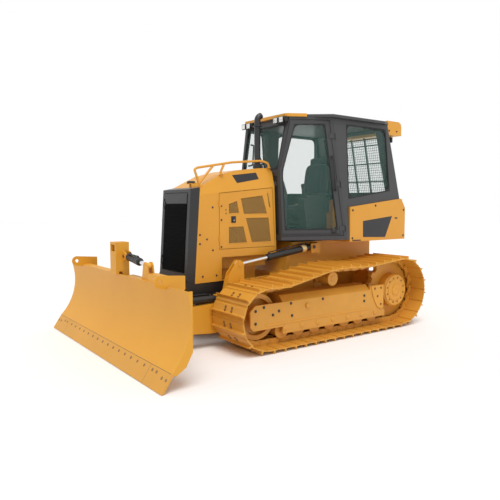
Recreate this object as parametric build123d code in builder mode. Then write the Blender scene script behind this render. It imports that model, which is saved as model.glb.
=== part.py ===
from build123d import *
import os
from math import acos, asin, atan2, cos, degrees, hypot, pi, radians, sin, tan

# Crawler dozer with a cab, wide tracks and a six-way blade
# Millimetres, +X ahead, +Y to the machine's left, +Z up.
# The origin is on the ground, on the centre line, midway between the tracks' rear and the blade's edge.
# Stations along X are written as distances ahead of the sprockets' axle and placed by at().

# Driving dimensions, overall
TRACK_REACH = 480            # sprocket axle to the grouser tips at the rear, and its height over the ground
EDGE_REACH = 3806            # sprocket axle to the tip of the cutting edge
WHEELBASE = 2296             # sprocket axle to idler axle
GAUGE = 1675                 # between the tracks' centre lines
SHOE_WIDTH = 610
BLADE_WIDTH = 3149
AXLE_X = (TRACK_REACH - EDGE_REACH) / 2
HANDS = (1, -1)              # left, right

# Clearances
SEAT_GAP = 0.3               # between pieces that rest in or on each other
PIN_GAP = 1.0                # between a pin and its eye
PIN_HEAD = 10                # length of a pin's head outside its cheek
RUN_GAP = 12                 # between panels that move past each other

# Tracks
IDLER_REACH = 385            # idler axle to the grouser tips, and its height over the ground
PIN_DEPTH = 32               # shoe's inner face to the track pin
RAIL_DEPTH = 60              # shoe's inner face to the rail of the links
SHOE_PLATE = 14
GROUSER = 36
SHOE_HEIGHT = SHOE_PLATE + GROUSER
TEETH = 16                   # track pitches once round the sprocket
STRAND_OUTER = 92            # links' outer face from the track's centre line
STRAND_WIDTH = 40
BUSHING_R = 25
CARRIER_AHEAD = 1150         # carrier roller's axle ahead of the sprocket's
CARRIER_TOP = 862            # height of the shoes' inner face over the carrier roller
# Where the slack top run passes: distance ahead, height of the shoes' inner face
TOP_RUN = ((650, 850), (CARRIER_AHEAD, CARRIER_TOP), (1340, 846), (2040, 706))

# Rollers, idlers and track frames
ROLLER_R = 84
ROLLER_FLANGE = 14
ROLLER_FIRST = 432
ROLLER_STEP = 255
ROLLER_COUNT = 7
CARRIER_R = 72
SHAFT_R = 24
FRAME_OUT = 173              # outer plate's outside from the track's centre line
FRAME_IN = 173
FRAME_PLATE = 24
FRAME_TOP = 600
FRAME_RIDGE = 530
FRAME_SILL = 310             # underside of the box over the rollers
GUARD_LOW = 168
FRAME_REAR = 540
FRAME_FRONT = 2450
HUB_R = 221
HUB_OUT = 990                # hub cap's face from the centre line

# Hull
HULL_HALF = 390
HULL_LOW = 330
HULL_DECK = 1165
HULL_REAR = -150
HULL_FRONT = 2330
CROSS_TUBE = (900, 420)      # tube that carries the track frames: ahead, height
CROSS_TUBE_R = 75
SUPPORT_TOP = 723.7          # top of the nose's support

# Engine, hood and nose
ENGINE = (700, 460, 560)
ENGINE_AHEAD = 2000
RADIATOR = (2480, 2600)      # its rear and front faces
RADIATOR_TOP = 1780
HOOD_HALF = 335
HOOD_SHEET = 6
HOOD_LEAN = 12.5             # inward lean of the shoulder above the crease, degrees
# Hood's side outline: distance ahead, height
HOOD_OUTLINE = ((2668, 1830), (2368, 1983), (2111, 2046), (1779, 2083), (1625, 2089), (1588, 2040),
                (1545, 1010), (2375, 1010), (2375, 730), (2745, 724))
CREASE_FRONT = (2439, 1767)
CREASE_REAR = (1572, 1854)
DOOR_SEAM = 2405
DOOR_LOW = 1110
DOOR_END = 1570
HINGE_R = 7                  # knuckles of the hood doors' and the grille's hinges
# Openings in the engine door: corners as distance ahead and height
DOOR_GRILLES = (((2271, 1640), (2155, 1676), (2126, 1532), (2271, 1527)),
                ((2097, 1706), (1770, 1745), (1699, 1522), (2053, 1519)),
                ((2272, 1367), (2060, 1368), (2008, 1171), (2273, 1170)),
                ((2023, 1470), (1675, 1472), (1632, 1171), (1932, 1170)),
                ((1700, 1775), (1684, 1777), (1642, 1600), (1664, 1596)))
NOSE_FRONT_TOP = (2790, 1806)
NOSE_FRONT_LOW = (2856, 760)
NOSE_WAY = 300               # half the width of the air's way from the nose to the radiator
DOOR_SEAM_GAP = 6
GRILLE_LOW = 850
GRILLE_HALF = 270
GRILLE_BARS = 24

# Cab
CAB_FLOOR = 1180
CAB_TOP = 2725
CAB_WALL = 46
CAB_OUTLINE = ((1533, CAB_FLOOR), (1573, 2037), (1445, CAB_TOP), (-114, CAB_TOP), (-451, CAB_FLOOR))
PILLAR_A = (1533, 420)       # door plane's front edge at the floor: ahead, out from the centre line
PILLAR_B = (740, 790)        # door plane's rear edge at the floor
SIDE_LEAN = 3.27             # inward lean of the cab's sides behind the doors, degrees
ROOF_TOP = CAB_TOP + 38
ROOF_REAR = -130
# Roof's left edge: distance ahead, out from the centre line
ROOF_OUTLINE = ((1450, 410), (1425, 445), (1240, 535), (970, 752), (0, 752), (ROOF_REAR, 700))
ROOF_BAR = 42                # width of the bar along the roof's front edge

# Rear body round the cab's back
BODY_HALF = 790
BODY_LOW = 1150.3
BODY_OUTLINE = ((686, BODY_LOW), (686, 1602), (-340, 1716), (-425, 1586), (-430, BODY_LOW))

# Blade, yoke and push frame
PUSH_PIVOT = (1500, 430)
PUSH_IN = 440
PUSH_OUT = 520
LIFT_Y = 480
EYE_BORE = 0.5               # a barrel eye's pin, as a share of the eye's radius
LIFT_EYE_R = 40
LIFT_SLOT = 26               # from its line to the inner and outer faces of the plates that hold it
LIFT_CHEEK = 42
LIFT_HEAD = 6                # pin's heads on the push frame, close beside the tracks
ANGLE_EYE_R = 34
TILT_EYE_R = 34
LIFT_MOUNT = (1074, 1087)
LIFT_EYE = (2240, 928)
LIFT_BARREL_R = 42
LIFT_ROD_R = 24
YOKE_PIVOT = 3300
YOKE_Z = 400
ANGLE_MOUNT = (2540, 480)
ANGLE_EYE = (3285, 450)
ANGLE_Z = 560
TOWER_HALF = 80
TOWER_TOP = 1222
TOWER_LIP = 868              # lower edge of its front, ahead of the mouldboard's lip
TILT_X = 3470
TILT_MOUNT = (130, 1070)
TILT_EYE = (650, 1010)
EDGE_GAP = 6


def at(ahead):
    """Place along X of a station given as its distance ahead of the sprockets' axle."""
    return AXLE_X + ahead


def placed(points):
    """A side outline's stations turned into places along X."""
    return [(at(x), z) for x, z in points]


def block(plane, points, depth, mode=Mode.ADD, both=False):
    """Extrude a closed outline drawn on a plane."""
    with BuildSketch(plane) as outline:
        with BuildLine():
            Polyline(*points, close=True)
        make_face()
    extrude(outline.sketch, amount=depth, both=both, mode=mode)


def side_block(points, y_low, y_high, mode=Mode.ADD):
    """Extrude an outline in X and Z from one distance off the centre line to another."""
    block(Plane.XZ.offset(-y_high), points, y_high - y_low, mode)


def rod(start, end, radius, mode=Mode.ADD):
    """A round bar from one point to another."""
    line = Edge.make_line(start, end)
    plane = Plane(origin=start, z_dir=line @ 1 - line @ 0)
    with BuildSketch(plane) as disc:
        Circle(radius)
    extrude(disc.sketch, amount=line.length, mode=mode)


def box(x_low, x_high, y_low, y_high, z_low, z_high, mode=Mode.ADD):
    """A rectangular solid between two corners."""
    with BuildSketch(Plane.XY.offset(z_low)) as base:
        with Locations(((x_low + x_high) / 2, (y_low + y_high) / 2)):
            Rectangle(x_high - x_low, y_high - y_low)
    extrude(base.sketch, amount=z_high - z_low, mode=mode)


def prism(ahead, height, radius, y_low, y_high, sides, mode=Mode.ADD):
    """A many-sided bar square to the centre line, with one corner straight down."""
    with BuildSketch(Plane.XZ.offset(-y_high)) as face:
        with Locations((at(ahead), height)):
            RegularPolygon(radius, sides)
    extrude(face.sketch, amount=y_high - y_low, mode=mode)


def save(part, name):
    """Label a finished piece and write its file."""
    part.label = name
    export_step(part, f"parts/{name}.step")


def save_pair(part, name):
    """Write a piece drawn for the left, and its mirror image for the right."""
    save(part, f"{name}_left")
    save(mirror(part, about=Plane.XZ), f"{name}_right")


def save_both(part, name):
    """Write a piece drawn for the left together with its mirror image, in one node."""
    save(Compound(children=part.solids() + mirror(part, about=Plane.XZ).solids()), name)


os.makedirs("parts", exist_ok=True)

# Track loop
# Heights of the axles, and radii of the pins' circles round the sprocket and the idler
SPROCKET_Z = TRACK_REACH
IDLER_Z = IDLER_REACH
SPROCKET_PIN_R = TRACK_REACH - SHOE_HEIGHT - PIN_DEPTH
IDLER_PIN_R = IDLER_REACH - SHOE_HEIGHT - PIN_DEPTH
TRACK_Y = GAUGE / 2


def tangent_angle(centre, radius, point, turn):
    """Angle on a circle, in radians, where a line from an outside point touches it."""
    dx = point[0] - centre[0]
    dz = point[1] - centre[1]
    return atan2(dz, dx) + turn * acos(radius / hypot(dx, dz))


def arc_points(centre, radius, start, end, count=48):
    """Points along an arc, ends included."""
    steps = [start + (end - start) * i / count for i in range(count + 1)]
    return [(centre[0] + radius * cos(a), centre[1] + radius * sin(a)) for a in steps]


def pin_line():
    """The pins' closed path: from the sprocket's rearmost point over the top and back underneath."""
    run = [(x, z - PIN_DEPTH) for x, z in TOP_RUN]
    leave = tangent_angle((0, SPROCKET_Z), SPROCKET_PIN_R, run[0], 1)
    meet = tangent_angle((WHEELBASE, IDLER_Z), IDLER_PIN_R, run[-1], -1)
    path = arc_points((0, SPROCKET_Z), SPROCKET_PIN_R, pi, leave)
    path += run
    path += arc_points((WHEELBASE, IDLER_Z), IDLER_PIN_R, meet, -pi / 2)
    path += arc_points((0, SPROCKET_Z), SPROCKET_PIN_R, 3 * pi / 2, pi)
    return path


def walk(path, count):
    """Evenly spaced points along a closed path."""
    lengths = [hypot(b[0] - a[0], b[1] - a[1]) for a, b in zip(path, path[1:])]
    total = sum(lengths)
    places = []
    reached = 0
    index = 0
    for k in range(count):
        goal = total * k / count
        while reached + lengths[index] < goal:
            reached += lengths[index]
            index += 1
        share = (goal - reached) / lengths[index]
        a, b = path[index], path[index + 1]
        places.append((a[0] + (b[0] - a[0]) * share, a[1] + (b[1] - a[1]) * share))
    return places


PIN_PATH = pin_line()
LOOP = sum(hypot(b[0] - a[0], b[1] - a[1]) for a, b in zip(PIN_PATH, PIN_PATH[1:]))
SHOES = round(LOOP / (2 * pi * SPROCKET_PIN_R / TEETH))
PINS = walk(PIN_PATH, SHOES)


def off_link(k, share, height):
    """A point beside link k: a share of its length along it, and a height out from its pins."""
    a = PINS[k]
    b = PINS[(k + 1) % SHOES]
    length = hypot(b[0] - a[0], b[1] - a[1])
    tx, tz = (b[0] - a[0]) / length, (b[1] - a[1]) / length
    return (at(a[0] + tx * length * share - tz * height), a[1] + tz * length * share + tx * height)


def off_pin(k, height):
    """A point at a height out from pin k, square to the chord of its two neighbours."""
    a = PINS[k - 1]
    b = PINS[(k + 1) % SHOES]
    length = hypot(b[0] - a[0], b[1] - a[1])
    tx, tz = (b[0] - a[0]) / length, (b[1] - a[1]) / length
    return (at(PINS[k][0] - tz * height), PINS[k][1] + tx * height)


# Shoe's outside along one link: share of the pitch, height over the shoe's inner face
TIP_SHARE = 0.63
SHOE_PROFILE = ((0.03, SHOE_PLATE), (0.60, SHOE_PLATE), (TIP_SHARE, SHOE_HEIGHT), (0.72, SHOE_HEIGHT - 1),
                (0.75, SHOE_PLATE), (0.99, SHOE_PLATE / 2))
# The machine stands on the first and the last grouser on the ground; those between are a little lower
TIP_WEAR = 0.8
tips = [off_link(k, TIP_SHARE, PIN_DEPTH + SHOE_HEIGHT) for k in range(SHOES)]
grounded = [k for k in range(SHOES) if tips[k][1] < TIP_WEAR / 2]
bearing = (min(grounded, key=lambda k: tips[k][0]), max(grounded, key=lambda k: tips[k][0]))


def grouser(k, height):
    """Height of a point of shoe k's outside, with the worn tips taken off."""
    return height - TIP_WEAR if k in grounded and k not in bearing and height > SHOE_PLATE else height


TREAD = [off_link(k, s, PIN_DEPTH + grouser(k, h)) for k in range(SHOES) for s, h in SHOE_PROFILE]
FACE = [off_pin(k, PIN_DEPTH) for k in range(SHOES)]
RAIL = [off_pin(k, PIN_DEPTH - RAIL_DEPTH) for k in range(SHOES)]

with BuildPart() as track:
    shoe_in = TRACK_Y - SHOE_WIDTH / 2
    side_block(TREAD, shoe_in, shoe_in + SHOE_WIDTH)
    side_block(FACE, shoe_in, shoe_in + SHOE_WIDTH, Mode.SUBTRACT)
    for strand in (-STRAND_OUTER, STRAND_OUTER - STRAND_WIDTH):
        low = TRACK_Y + strand
        with BuildSketch(Plane.XZ.offset(-(low + STRAND_WIDTH))) as links:
            with BuildLine():
                Polyline(*FACE, close=True)
            make_face()
            with BuildLine():
                Polyline(*RAIL, close=True)
            make_face(mode=Mode.SUBTRACT)
        extrude(links.sketch, amount=STRAND_WIDTH)
    gap_half = STRAND_OUTER - STRAND_WIDTH
    for pin in PINS:
        with BuildSketch(Plane.XZ.offset(-(TRACK_Y + gap_half))) as bushing:
            with Locations((at(pin[0]), pin[1])):
                RegularPolygon(BUSHING_R, 6)
        extrude(bushing.sketch, amount=2 * gap_half)
save_pair(track.part, "track")

# Sprockets and final drives
TOOTH_TIP = SPROCKET_PIN_R + 10
TOOTH_ROOT = SPROCKET_PIN_R - BUSHING_R - 2
TOOTH = ((-0.30, TOOTH_ROOT), (-0.19, TOOTH_TIP), (0.19, TOOTH_TIP), (0.30, TOOTH_ROOT))
SPROCKET_FACE = 30           # half the width of the teeth
with BuildPart() as sprocket:
    step = 2 * pi / TEETH
    outline = []
    for k in range(TEETH):
        for turn, radius in TOOTH:
            a = pi + (k + 0.5 + turn) * step
            outline.append((at(radius * cos(a)), SPROCKET_Z + radius * sin(a)))
    side_block(outline, TRACK_Y - SPROCKET_FACE, TRACK_Y + SPROCKET_FACE)
    rod((at(0), TRACK_Y - 100, SPROCKET_Z), (at(0), TRACK_Y + 100, SPROCKET_Z), HUB_R + SEAT_GAP, Mode.SUBTRACT)
save_both(sprocket.part, "sprockets")
with BuildPart() as drive:
    with BuildSketch(Plane.XZ.offset(-HULL_HALF)) as hub:
        with Locations((at(0), SPROCKET_Z)):
            Circle(HUB_R)
    extrude(hub.sketch, amount=-(HUB_OUT - HULL_HALF))
    chamfer(drive.faces().sort_by(Axis.Y)[-1].edges(), 22)
save_both(drive.part, "final_drives")

# Idlers
RAIL_Z = SHOE_HEIGHT + RAIL_DEPTH
IDLER_STEP = 2 * asin(LOOP / SHOES / 2 / IDLER_PIN_R)
IDLER_R = (IDLER_PIN_R + PIN_DEPTH - RAIL_DEPTH) * cos(IDLER_STEP / 2) - 2.5
IDLER_HALF = 88
IDLER_RIB_HALF = 43
IDLER_RIB = 11               # height of the rib that runs between the links
IDLER_WEB_HALF = 30
IDLER_POCKET_R = 205
IDLER_HUB_R = 90
with BuildPart() as idler:
    prism(WHEELBASE, IDLER_Z, IDLER_R, TRACK_Y - IDLER_HALF, TRACK_Y + IDLER_HALF, 32)
    prism(WHEELBASE, IDLER_Z, IDLER_R + IDLER_RIB, TRACK_Y - IDLER_RIB_HALF, TRACK_Y + IDLER_RIB_HALF, 32)
    for side in HANDS:
        y_in, y_out = sorted((TRACK_Y + side * IDLER_WEB_HALF, TRACK_Y + side * (IDLER_HALF + 1)))
        prism(WHEELBASE, IDLER_Z, IDLER_POCKET_R, y_in, y_out, 16, Mode.SUBTRACT)
    prism(WHEELBASE, IDLER_Z, IDLER_HUB_R, TRACK_Y - IDLER_HALF, TRACK_Y + IDLER_HALF, 16)
    inside = FRAME_OUT - FRAME_PLATE - SEAT_GAP
    prism(WHEELBASE, IDLER_Z, 45, TRACK_Y - inside, TRACK_Y + inside, 12)
save_both(idler.part, "idlers")

ROLLER_HALF = 118            # half the width of a roller
ROLLER_TREAD = 96            # half the width between its flanges


def roller(ahead, height, radius, flange, shaft_in, shaft_out):
    """A flanged roller on its shaft, square to the centre line."""
    prism(ahead, height, radius, TRACK_Y - ROLLER_HALF, TRACK_Y + ROLLER_HALF, 20)
    for side in HANDS:
        y_in, y_out = sorted((TRACK_Y + side * ROLLER_TREAD, TRACK_Y + side * ROLLER_HALF))
        prism(ahead, height, radius + flange, y_in, y_out, 20)
    prism(ahead, height, SHAFT_R, TRACK_Y - shaft_in, TRACK_Y + shaft_out, 8)


ROLLER_Z = RAIL_Z + ROLLER_R + SEAT_GAP
CARRIER_Z = CARRIER_TOP - RAIL_DEPTH - CARRIER_R - 8
with BuildPart() as first:
    reach = FRAME_OUT - FRAME_PLATE - SEAT_GAP
    roller(ROLLER_FIRST, ROLLER_Z, ROLLER_R, ROLLER_FLANGE, reach, reach)
row = [first.part.moved(Location((ROLLER_STEP * i, 0, 0))) for i in range(ROLLER_COUNT)]
save_both(Compound(children=row), "track_rollers")
with BuildPart() as carrier:
    roller(CARRIER_AHEAD, CARRIER_Z, CARRIER_R, ROLLER_FLANGE, 150, 125)
save_both(carrier.part, "carrier_rollers")

# Track frames
FRAME_SECTION = ((FRAME_OUT, GUARD_LOW), (FRAME_OUT, FRAME_RIDGE), (100, FRAME_TOP), (-100, FRAME_TOP),
                 (-FRAME_IN, FRAME_RIDGE), (-FRAME_IN, GUARD_LOW), (FRAME_PLATE - FRAME_IN, GUARD_LOW),
                 (FRAME_PLATE - FRAME_IN, FRAME_SILL), (FRAME_OUT - FRAME_PLATE, FRAME_SILL),
                 (FRAME_OUT - FRAME_PLATE, GUARD_LOW))
IDLER_BAY = WHEELBASE - IDLER_R - 40
with BuildPart() as frame:
    block(Plane.YZ.offset(at(FRAME_REAR)), [(TRACK_Y + y, z) for y, z in FRAME_SECTION], IDLER_BAY - FRAME_REAR)
    fork = placed(((IDLER_BAY, 250), (IDLER_BAY, FRAME_RIDGE), (FRAME_FRONT - 70, FRAME_RIDGE),
                   (FRAME_FRONT, FRAME_RIDGE - 60), (FRAME_FRONT, 290), (FRAME_FRONT - 40, 250)))
    side_block(fork, TRACK_Y + FRAME_OUT - FRAME_PLATE, TRACK_Y + FRAME_OUT)
    side_block(fork, TRACK_Y - FRAME_IN, TRACK_Y - FRAME_IN + FRAME_PLATE)
    rear = placed(((FRAME_REAR, GUARD_LOW), (FRAME_REAR, FRAME_RIDGE), (FRAME_REAR - 14, 585), (281, 585),
                   (281, 269), (240, 240), (240, GUARD_LOW)))
    side_block(rear, TRACK_Y + FRAME_OUT - FRAME_PLATE, TRACK_Y + FRAME_OUT)
    side_block(rear, TRACK_Y - FRAME_IN, TRACK_Y - FRAME_IN + FRAME_PLATE)
    box(at(1090), at(1210), TRACK_Y - 173, TRACK_Y - 150 - SEAT_GAP, FRAME_RIDGE - 20, CARRIER_Z + 60)
save_both(frame.part, "track_frames")

# Hull with the cross tubes that carry the track frames
with BuildPart() as hull:
    side_block(placed(((HULL_REAR, HULL_LOW + 60), (HULL_REAR, HULL_DECK - 15), (1330, HULL_DECK - 15),
                       (1400, 1000), (1480, 760), (HULL_FRONT, 720), (HULL_FRONT, HULL_LOW + 110),
                       (HULL_FRONT - 110, HULL_LOW), (0, HULL_LOW))), -HULL_HALF, HULL_HALF)
    side_block(placed(((1540, 800), (1540, 420), (HULL_FRONT - 60, 420), (HULL_FRONT - 60, 800))),
               -HULL_HALF + 30, HULL_HALF - 30, Mode.SUBTRACT)
    tube_end = TRACK_Y - FRAME_IN - SEAT_GAP
    rod((at(CROSS_TUBE[0]), -tube_end, CROSS_TUBE[1]), (at(CROSS_TUBE[0]), tube_end, CROSS_TUBE[1]), CROSS_TUBE_R)
    for hand in HANDS:
        y_in, y_out = sorted((hand * HULL_HALF, hand * PUSH_OUT))
        rod((at(PUSH_PIVOT[0]), y_in, PUSH_PIVOT[1]), (at(PUSH_PIVOT[0]), y_out, PUSH_PIVOT[1]), 40)
        for low, high in ((LIFT_Y - LIFT_CHEEK, LIFT_Y - LIFT_SLOT), (LIFT_Y + LIFT_SLOT, LIFT_Y + LIFT_CHEEK)):
            y_in, y_out = sorted((hand * low, hand * high))
            side_block(placed(((LIFT_MOUNT[0] - 70, 1010), (LIFT_MOUNT[0] - 70, 1130), (LIFT_MOUNT[0] + 40, 1130),
                               (LIFT_MOUNT[0] + 40, 1010))), y_in, y_out)
        y_in, y_out = hand * (LIFT_Y - LIFT_CHEEK), hand * (LIFT_Y + LIFT_CHEEK + PIN_HEAD)
        rod((at(LIFT_MOUNT[0]), y_in, LIFT_MOUNT[1]), (at(LIFT_MOUNT[0]), y_out, LIFT_MOUNT[1]),
            LIFT_EYE_R * EYE_BORE)
        y_in, y_out = sorted((hand * HULL_HALF, hand * (LIFT_Y + LIFT_CHEEK)))
        box(at(LIFT_MOUNT[0] - 110), at(LIFT_MOUNT[0] - 60), y_in, y_out, 1000, 1140)
save(hull.part, "main_frame")

with BuildPart() as shroud:
    side_block(placed(((HULL_FRONT + SEAT_GAP, 470), (HULL_FRONT + SEAT_GAP, SUPPORT_TOP), (2745, SUPPORT_TOP),
                       (2840, 753), (2812, 590), (2725, 470))), -HOOD_HALF + 5, HOOD_HALF - 5)
save(shroud.part, "nose_support")

with BuildPart() as engine:
    length, width, height = ENGINE
    base = HULL_DECK - 300
    box(at(ENGINE_AHEAD - length / 2), at(ENGINE_AHEAD + length / 2), -width / 2, width / 2, base, base + height)
    box(at(ENGINE_AHEAD - 250), at(ENGINE_AHEAD + 250), -150, 150, 420 + SEAT_GAP, base)
save(engine.part, "engine_block")
with BuildPart() as radiator:
    box(at(RADIATOR[0]), at(RADIATOR[1]), -HOOD_HALF + 20, HOOD_HALF - 20, SUPPORT_TOP + SEAT_GAP, RADIATOR_TOP)
save(radiator.part, "radiator")


def hood_form(inset):
    """The hood's solid form, its faces moved in by an inset."""
    with BuildPart() as form:
        with BuildSketch(Plane.XZ) as outline:
            with BuildLine():
                Polyline(*placed(HOOD_OUTLINE), close=True)
            make_face()
            if inset:
                offset(amount=-inset, kind=Kind.INTERSECTION)
        extrude(outline.sketch, amount=HOOD_HALF - inset, both=True)
        crease = Vector(at(CREASE_REAR[0]), HOOD_HALF, CREASE_REAR[1])
        along = Vector(CREASE_FRONT[0] - CREASE_REAR[0], 0, CREASE_FRONT[1] - CREASE_REAR[1]).normalized()
        lean = Vector(0, -sin(radians(HOOD_LEAN)), cos(radians(HOOD_LEAN)))
        outward = along.cross(lean)
        outward = outward if outward.Y > 0 else outward * -1
        cut = Plane(origin=crease - outward * inset, z_dir=outward)
        split(bisect_by=cut, keep=Keep.BOTTOM)
        split(bisect_by=Plane(origin=(cut.origin.X, -cut.origin.Y, cut.origin.Z),
                              z_dir=(outward.X, -outward.Y, outward.Z)), keep=Keep.BOTTOM)
    return form.part


HOOD_SOLID = hood_form(0)
HOOD_INSIDE = hood_form(HOOD_SHEET)


def crease_height(ahead):
    """Height of the shoulder crease at a station."""
    share = (ahead - CREASE_REAR[0]) / (CREASE_FRONT[0] - CREASE_REAR[0])
    return CREASE_REAR[1] + share * (CREASE_FRONT[1] - CREASE_REAR[1])


DOOR_OUTLINE = placed(((DOOR_SEAM, DOOR_LOW), (DOOR_SEAM, crease_height(DOOR_SEAM) - 8),
                       (DOOR_END + 50, crease_height(DOOR_END + 50) - 8), (DOOR_END, DOOR_LOW)))
with BuildPart() as hood:
    add(HOOD_SOLID)
    add(HOOD_INSIDE, mode=Mode.SUBTRACT)
    box(at(1503), at(2745), -HOOD_HALF + HOOD_SHEET, HOOD_HALF - HOOD_SHEET, 700, 1016, Mode.SUBTRACT)
    box(at(2640), at(2760), -NOSE_WAY, NOSE_WAY, 740, RADIATOR_TOP, Mode.SUBTRACT)
    with BuildSketch(Plane.XZ) as way:
        with BuildLine():
            Polyline(*DOOR_OUTLINE, close=True)
        make_face()
        offset(amount=DOOR_SEAM_GAP, kind=Kind.INTERSECTION)
    extrude(way.sketch, amount=HOOD_HALF + 50, both=True, mode=Mode.SUBTRACT)
save(hood.part, "hood")


# Hood doors' hinges: the axis stands off the hood's side ahead of the seam
HINGE_AHEAD = DOOR_SEAM + HINGE_R
HINGE_Y = HOOD_HALF + HINGE_R + 1
HINGE_HEIGHTS = (1230, 1640)
KNUCKLE = 60
with BuildPart() as door:
    side_block(DOOR_OUTLINE, HOOD_HALF - HOOD_SHEET, HOOD_HALF)
    for corners in DOOR_GRILLES:
        side_block(placed(corners), HOOD_HALF - HOOD_SHEET / 2, HOOD_HALF + 1, Mode.SUBTRACT)
    for height in HINGE_HEIGHTS:
        box(at(DOOR_SEAM - 40), at(HINGE_AHEAD), HOOD_HALF, HOOD_HALF + 3, height - KNUCKLE / 2,
            height + KNUCKLE / 2)
        rod((at(HINGE_AHEAD), HINGE_Y, height - KNUCKLE / 2), (at(HINGE_AHEAD), HINGE_Y, height + KNUCKLE / 2),
            HINGE_R)
save_pair(door.part, "engine_door")

# Nose round the radiator, with its hinged grille
GRILLE_TOP = 1765
GRILLE_GAP = 5
GRILLE_SHEET = 24
GRILLE_HINGES = (960, 1640)


def nose_face(z):
    """Distance ahead of the nose's slanting front at a height."""
    share = (NOSE_FRONT_TOP[1] - z) / (NOSE_FRONT_TOP[1] - NOSE_FRONT_LOW[1])
    return NOSE_FRONT_TOP[0] + share * (NOSE_FRONT_LOW[0] - NOSE_FRONT_TOP[0])


with BuildPart() as nose:
    outline = placed(((2668 + SEAT_GAP, 1829), NOSE_FRONT_TOP, NOSE_FRONT_LOW, (2745 + SEAT_GAP, 725)))
    side_block(outline, -HOOD_HALF, HOOD_HALF)
    low = GRILLE_LOW - GRILLE_GAP
    high = GRILLE_TOP + GRILLE_GAP
    reach = GRILLE_HALF + GRILLE_GAP
    side_block(placed(((2600, high), (2900, high), (2900, low), (2600, low))), -reach, reach, Mode.SUBTRACT)
    fillet(nose.edges().filter_by(Axis.Y).group_by(Axis.X)[-1], 20)
    for height in GRILLE_HINGES:
        y = -reach - 14
        x = at(nose_face(height))
        box(x - 20, x + 10, y - 12, y + 8, height + KNUCKLE / 2 + PIN_GAP, height + KNUCKLE)
        box(x - 20, x + 10, y - 12, y + 8, height - KNUCKLE, height - KNUCKLE / 2 - PIN_GAP)
save(nose.part, "nose_frame")

GRILLE_HINGE = 12            # hinge axis ahead of the nose's face
with BuildPart() as grille:
    front = [(nose_face(z), z) for z in (GRILLE_TOP, GRILLE_LOW)]
    side_block(placed((front[0], front[1], (front[1][0] - GRILLE_SHEET, front[1][1]),
                       (front[0][0] - GRILLE_SHEET, front[0][1]))), -GRILLE_HALF, GRILLE_HALF)
    rim = 30
    pitch = (GRILLE_TOP - GRILLE_LOW - 2 * rim) / GRILLE_BARS
    for i in range(GRILLE_BARS):
        z = GRILLE_LOW + rim + pitch * (i + 0.22)
        box(at(2700), at(2900), -GRILLE_HALF + rim, GRILLE_HALF - rim, z, z + pitch * 0.56, Mode.SUBTRACT)
    for height in GRILLE_HINGES:
        y = -GRILLE_HALF - GRILLE_GAP - 14
        top = (at(nose_face(height + KNUCKLE / 2) + GRILLE_HINGE), y, height + KNUCKLE / 2)
        foot = (at(nose_face(height - KNUCKLE / 2) + GRILLE_HINGE), y, height - KNUCKLE / 2)
        rod(foot, top, HINGE_R)
        x = at(nose_face(height))
        box(x + 3, x + GRILLE_HINGE, y, -GRILLE_HALF + 20, height - KNUCKLE / 2 + 2, height + KNUCKLE / 2 - 2)
        box(x - 5, x + 4, -GRILLE_HALF + 2, -GRILLE_HALF + 20, height - KNUCKLE / 2 + 2, height + KNUCKLE / 2 - 2)
save(grille.part, "grille_door")

# Exhaust and handrail
STACK = (1712, 150)
STACK_FOOT = 2088
with BuildPart() as exhaust:
    rod((at(STACK[0]), STACK[1], STACK_FOOT), (at(STACK[0]), STACK[1], 2702), 42)
    rod((at(STACK[0]), STACK[1], STACK_FOOT), (at(STACK[0]), STACK[1], STACK_FOOT + 60), 58)
    rod((at(STACK[0] + 8), STACK[1], 2690), (at(STACK[0] - 62), STACK[1], 2762), 42)
save(exhaust.part, "exhaust_stack")

RAIL_R = 14
RAIL_Y = 292
# Handrail's line and its braces: distance ahead and height, with the feet square to the hood's top
RAIL_PATH = placed(((2640.1, 1844.7), (2655, 1874), (2715, 2030), (2680, 2052), (2200, 2135), (1750, 2174),
                    (1660, 2150), (1642, 2120), (1640, 2088.8)))
RAIL_BRACES = (((2355.1, 1986.6), (2361, 2012)), ((2361, 2012), (2310, 2112)), ((2655, 1874), (2460, 2088)))
with BuildPart() as rail:
    for a, b in zip(RAIL_PATH, RAIL_PATH[1:]):
        rod((a[0], RAIL_Y, a[1]), (b[0], RAIL_Y, b[1]), RAIL_R)
    for a, b in RAIL_BRACES:
        rod((at(a[0]), RAIL_Y, a[1]), (at(b[0]), RAIL_Y, b[1]), RAIL_R)
    for x, z in RAIL_PATH[1:-1]:
        with Locations((x, RAIL_Y, z)):
            Sphere(RAIL_R)
save(rail.part, "handrail")


def cab_form(inset):
    """The cab's solid form, its walls moved in by an inset."""
    with BuildPart() as form:
        with BuildSketch(Plane.XZ) as outline:
            with BuildLine():
                Polyline(*placed(CAB_OUTLINE), close=True)
            make_face()
            if inset:
                offset(amount=-inset, kind=Kind.INTERSECTION)
        extrude(outline.sketch, amount=PILLAR_B[1] + 100, both=True)
        run = Vector(PILLAR_B[0] - PILLAR_A[0], PILLAR_B[1] - PILLAR_A[1], 0).normalized()
        out = Vector(run.Y, -run.X, 0)
        tilt = radians(SIDE_LEAN)
        up_out = Vector(0, cos(tilt), sin(tilt))
        for hand in HANDS:
            base = Vector(at(PILLAR_A[0]), hand * PILLAR_A[1], CAB_FLOOR)
            normal = Vector(out.X, hand * out.Y, 0)
            split(bisect_by=Plane(origin=base - normal * inset, z_dir=normal), keep=Keep.BOTTOM)
            base = Vector(at(PILLAR_B[0]), hand * PILLAR_B[1], CAB_FLOOR)
            normal = Vector(0, hand * up_out.Y, up_out.Z)
            split(bisect_by=Plane(origin=base - normal * inset, z_dir=normal), keep=Keep.BOTTOM)
    return form.part


CAB_SOLID = cab_form(0)
CAB_INSIDE = cab_form(CAB_WALL)


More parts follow.
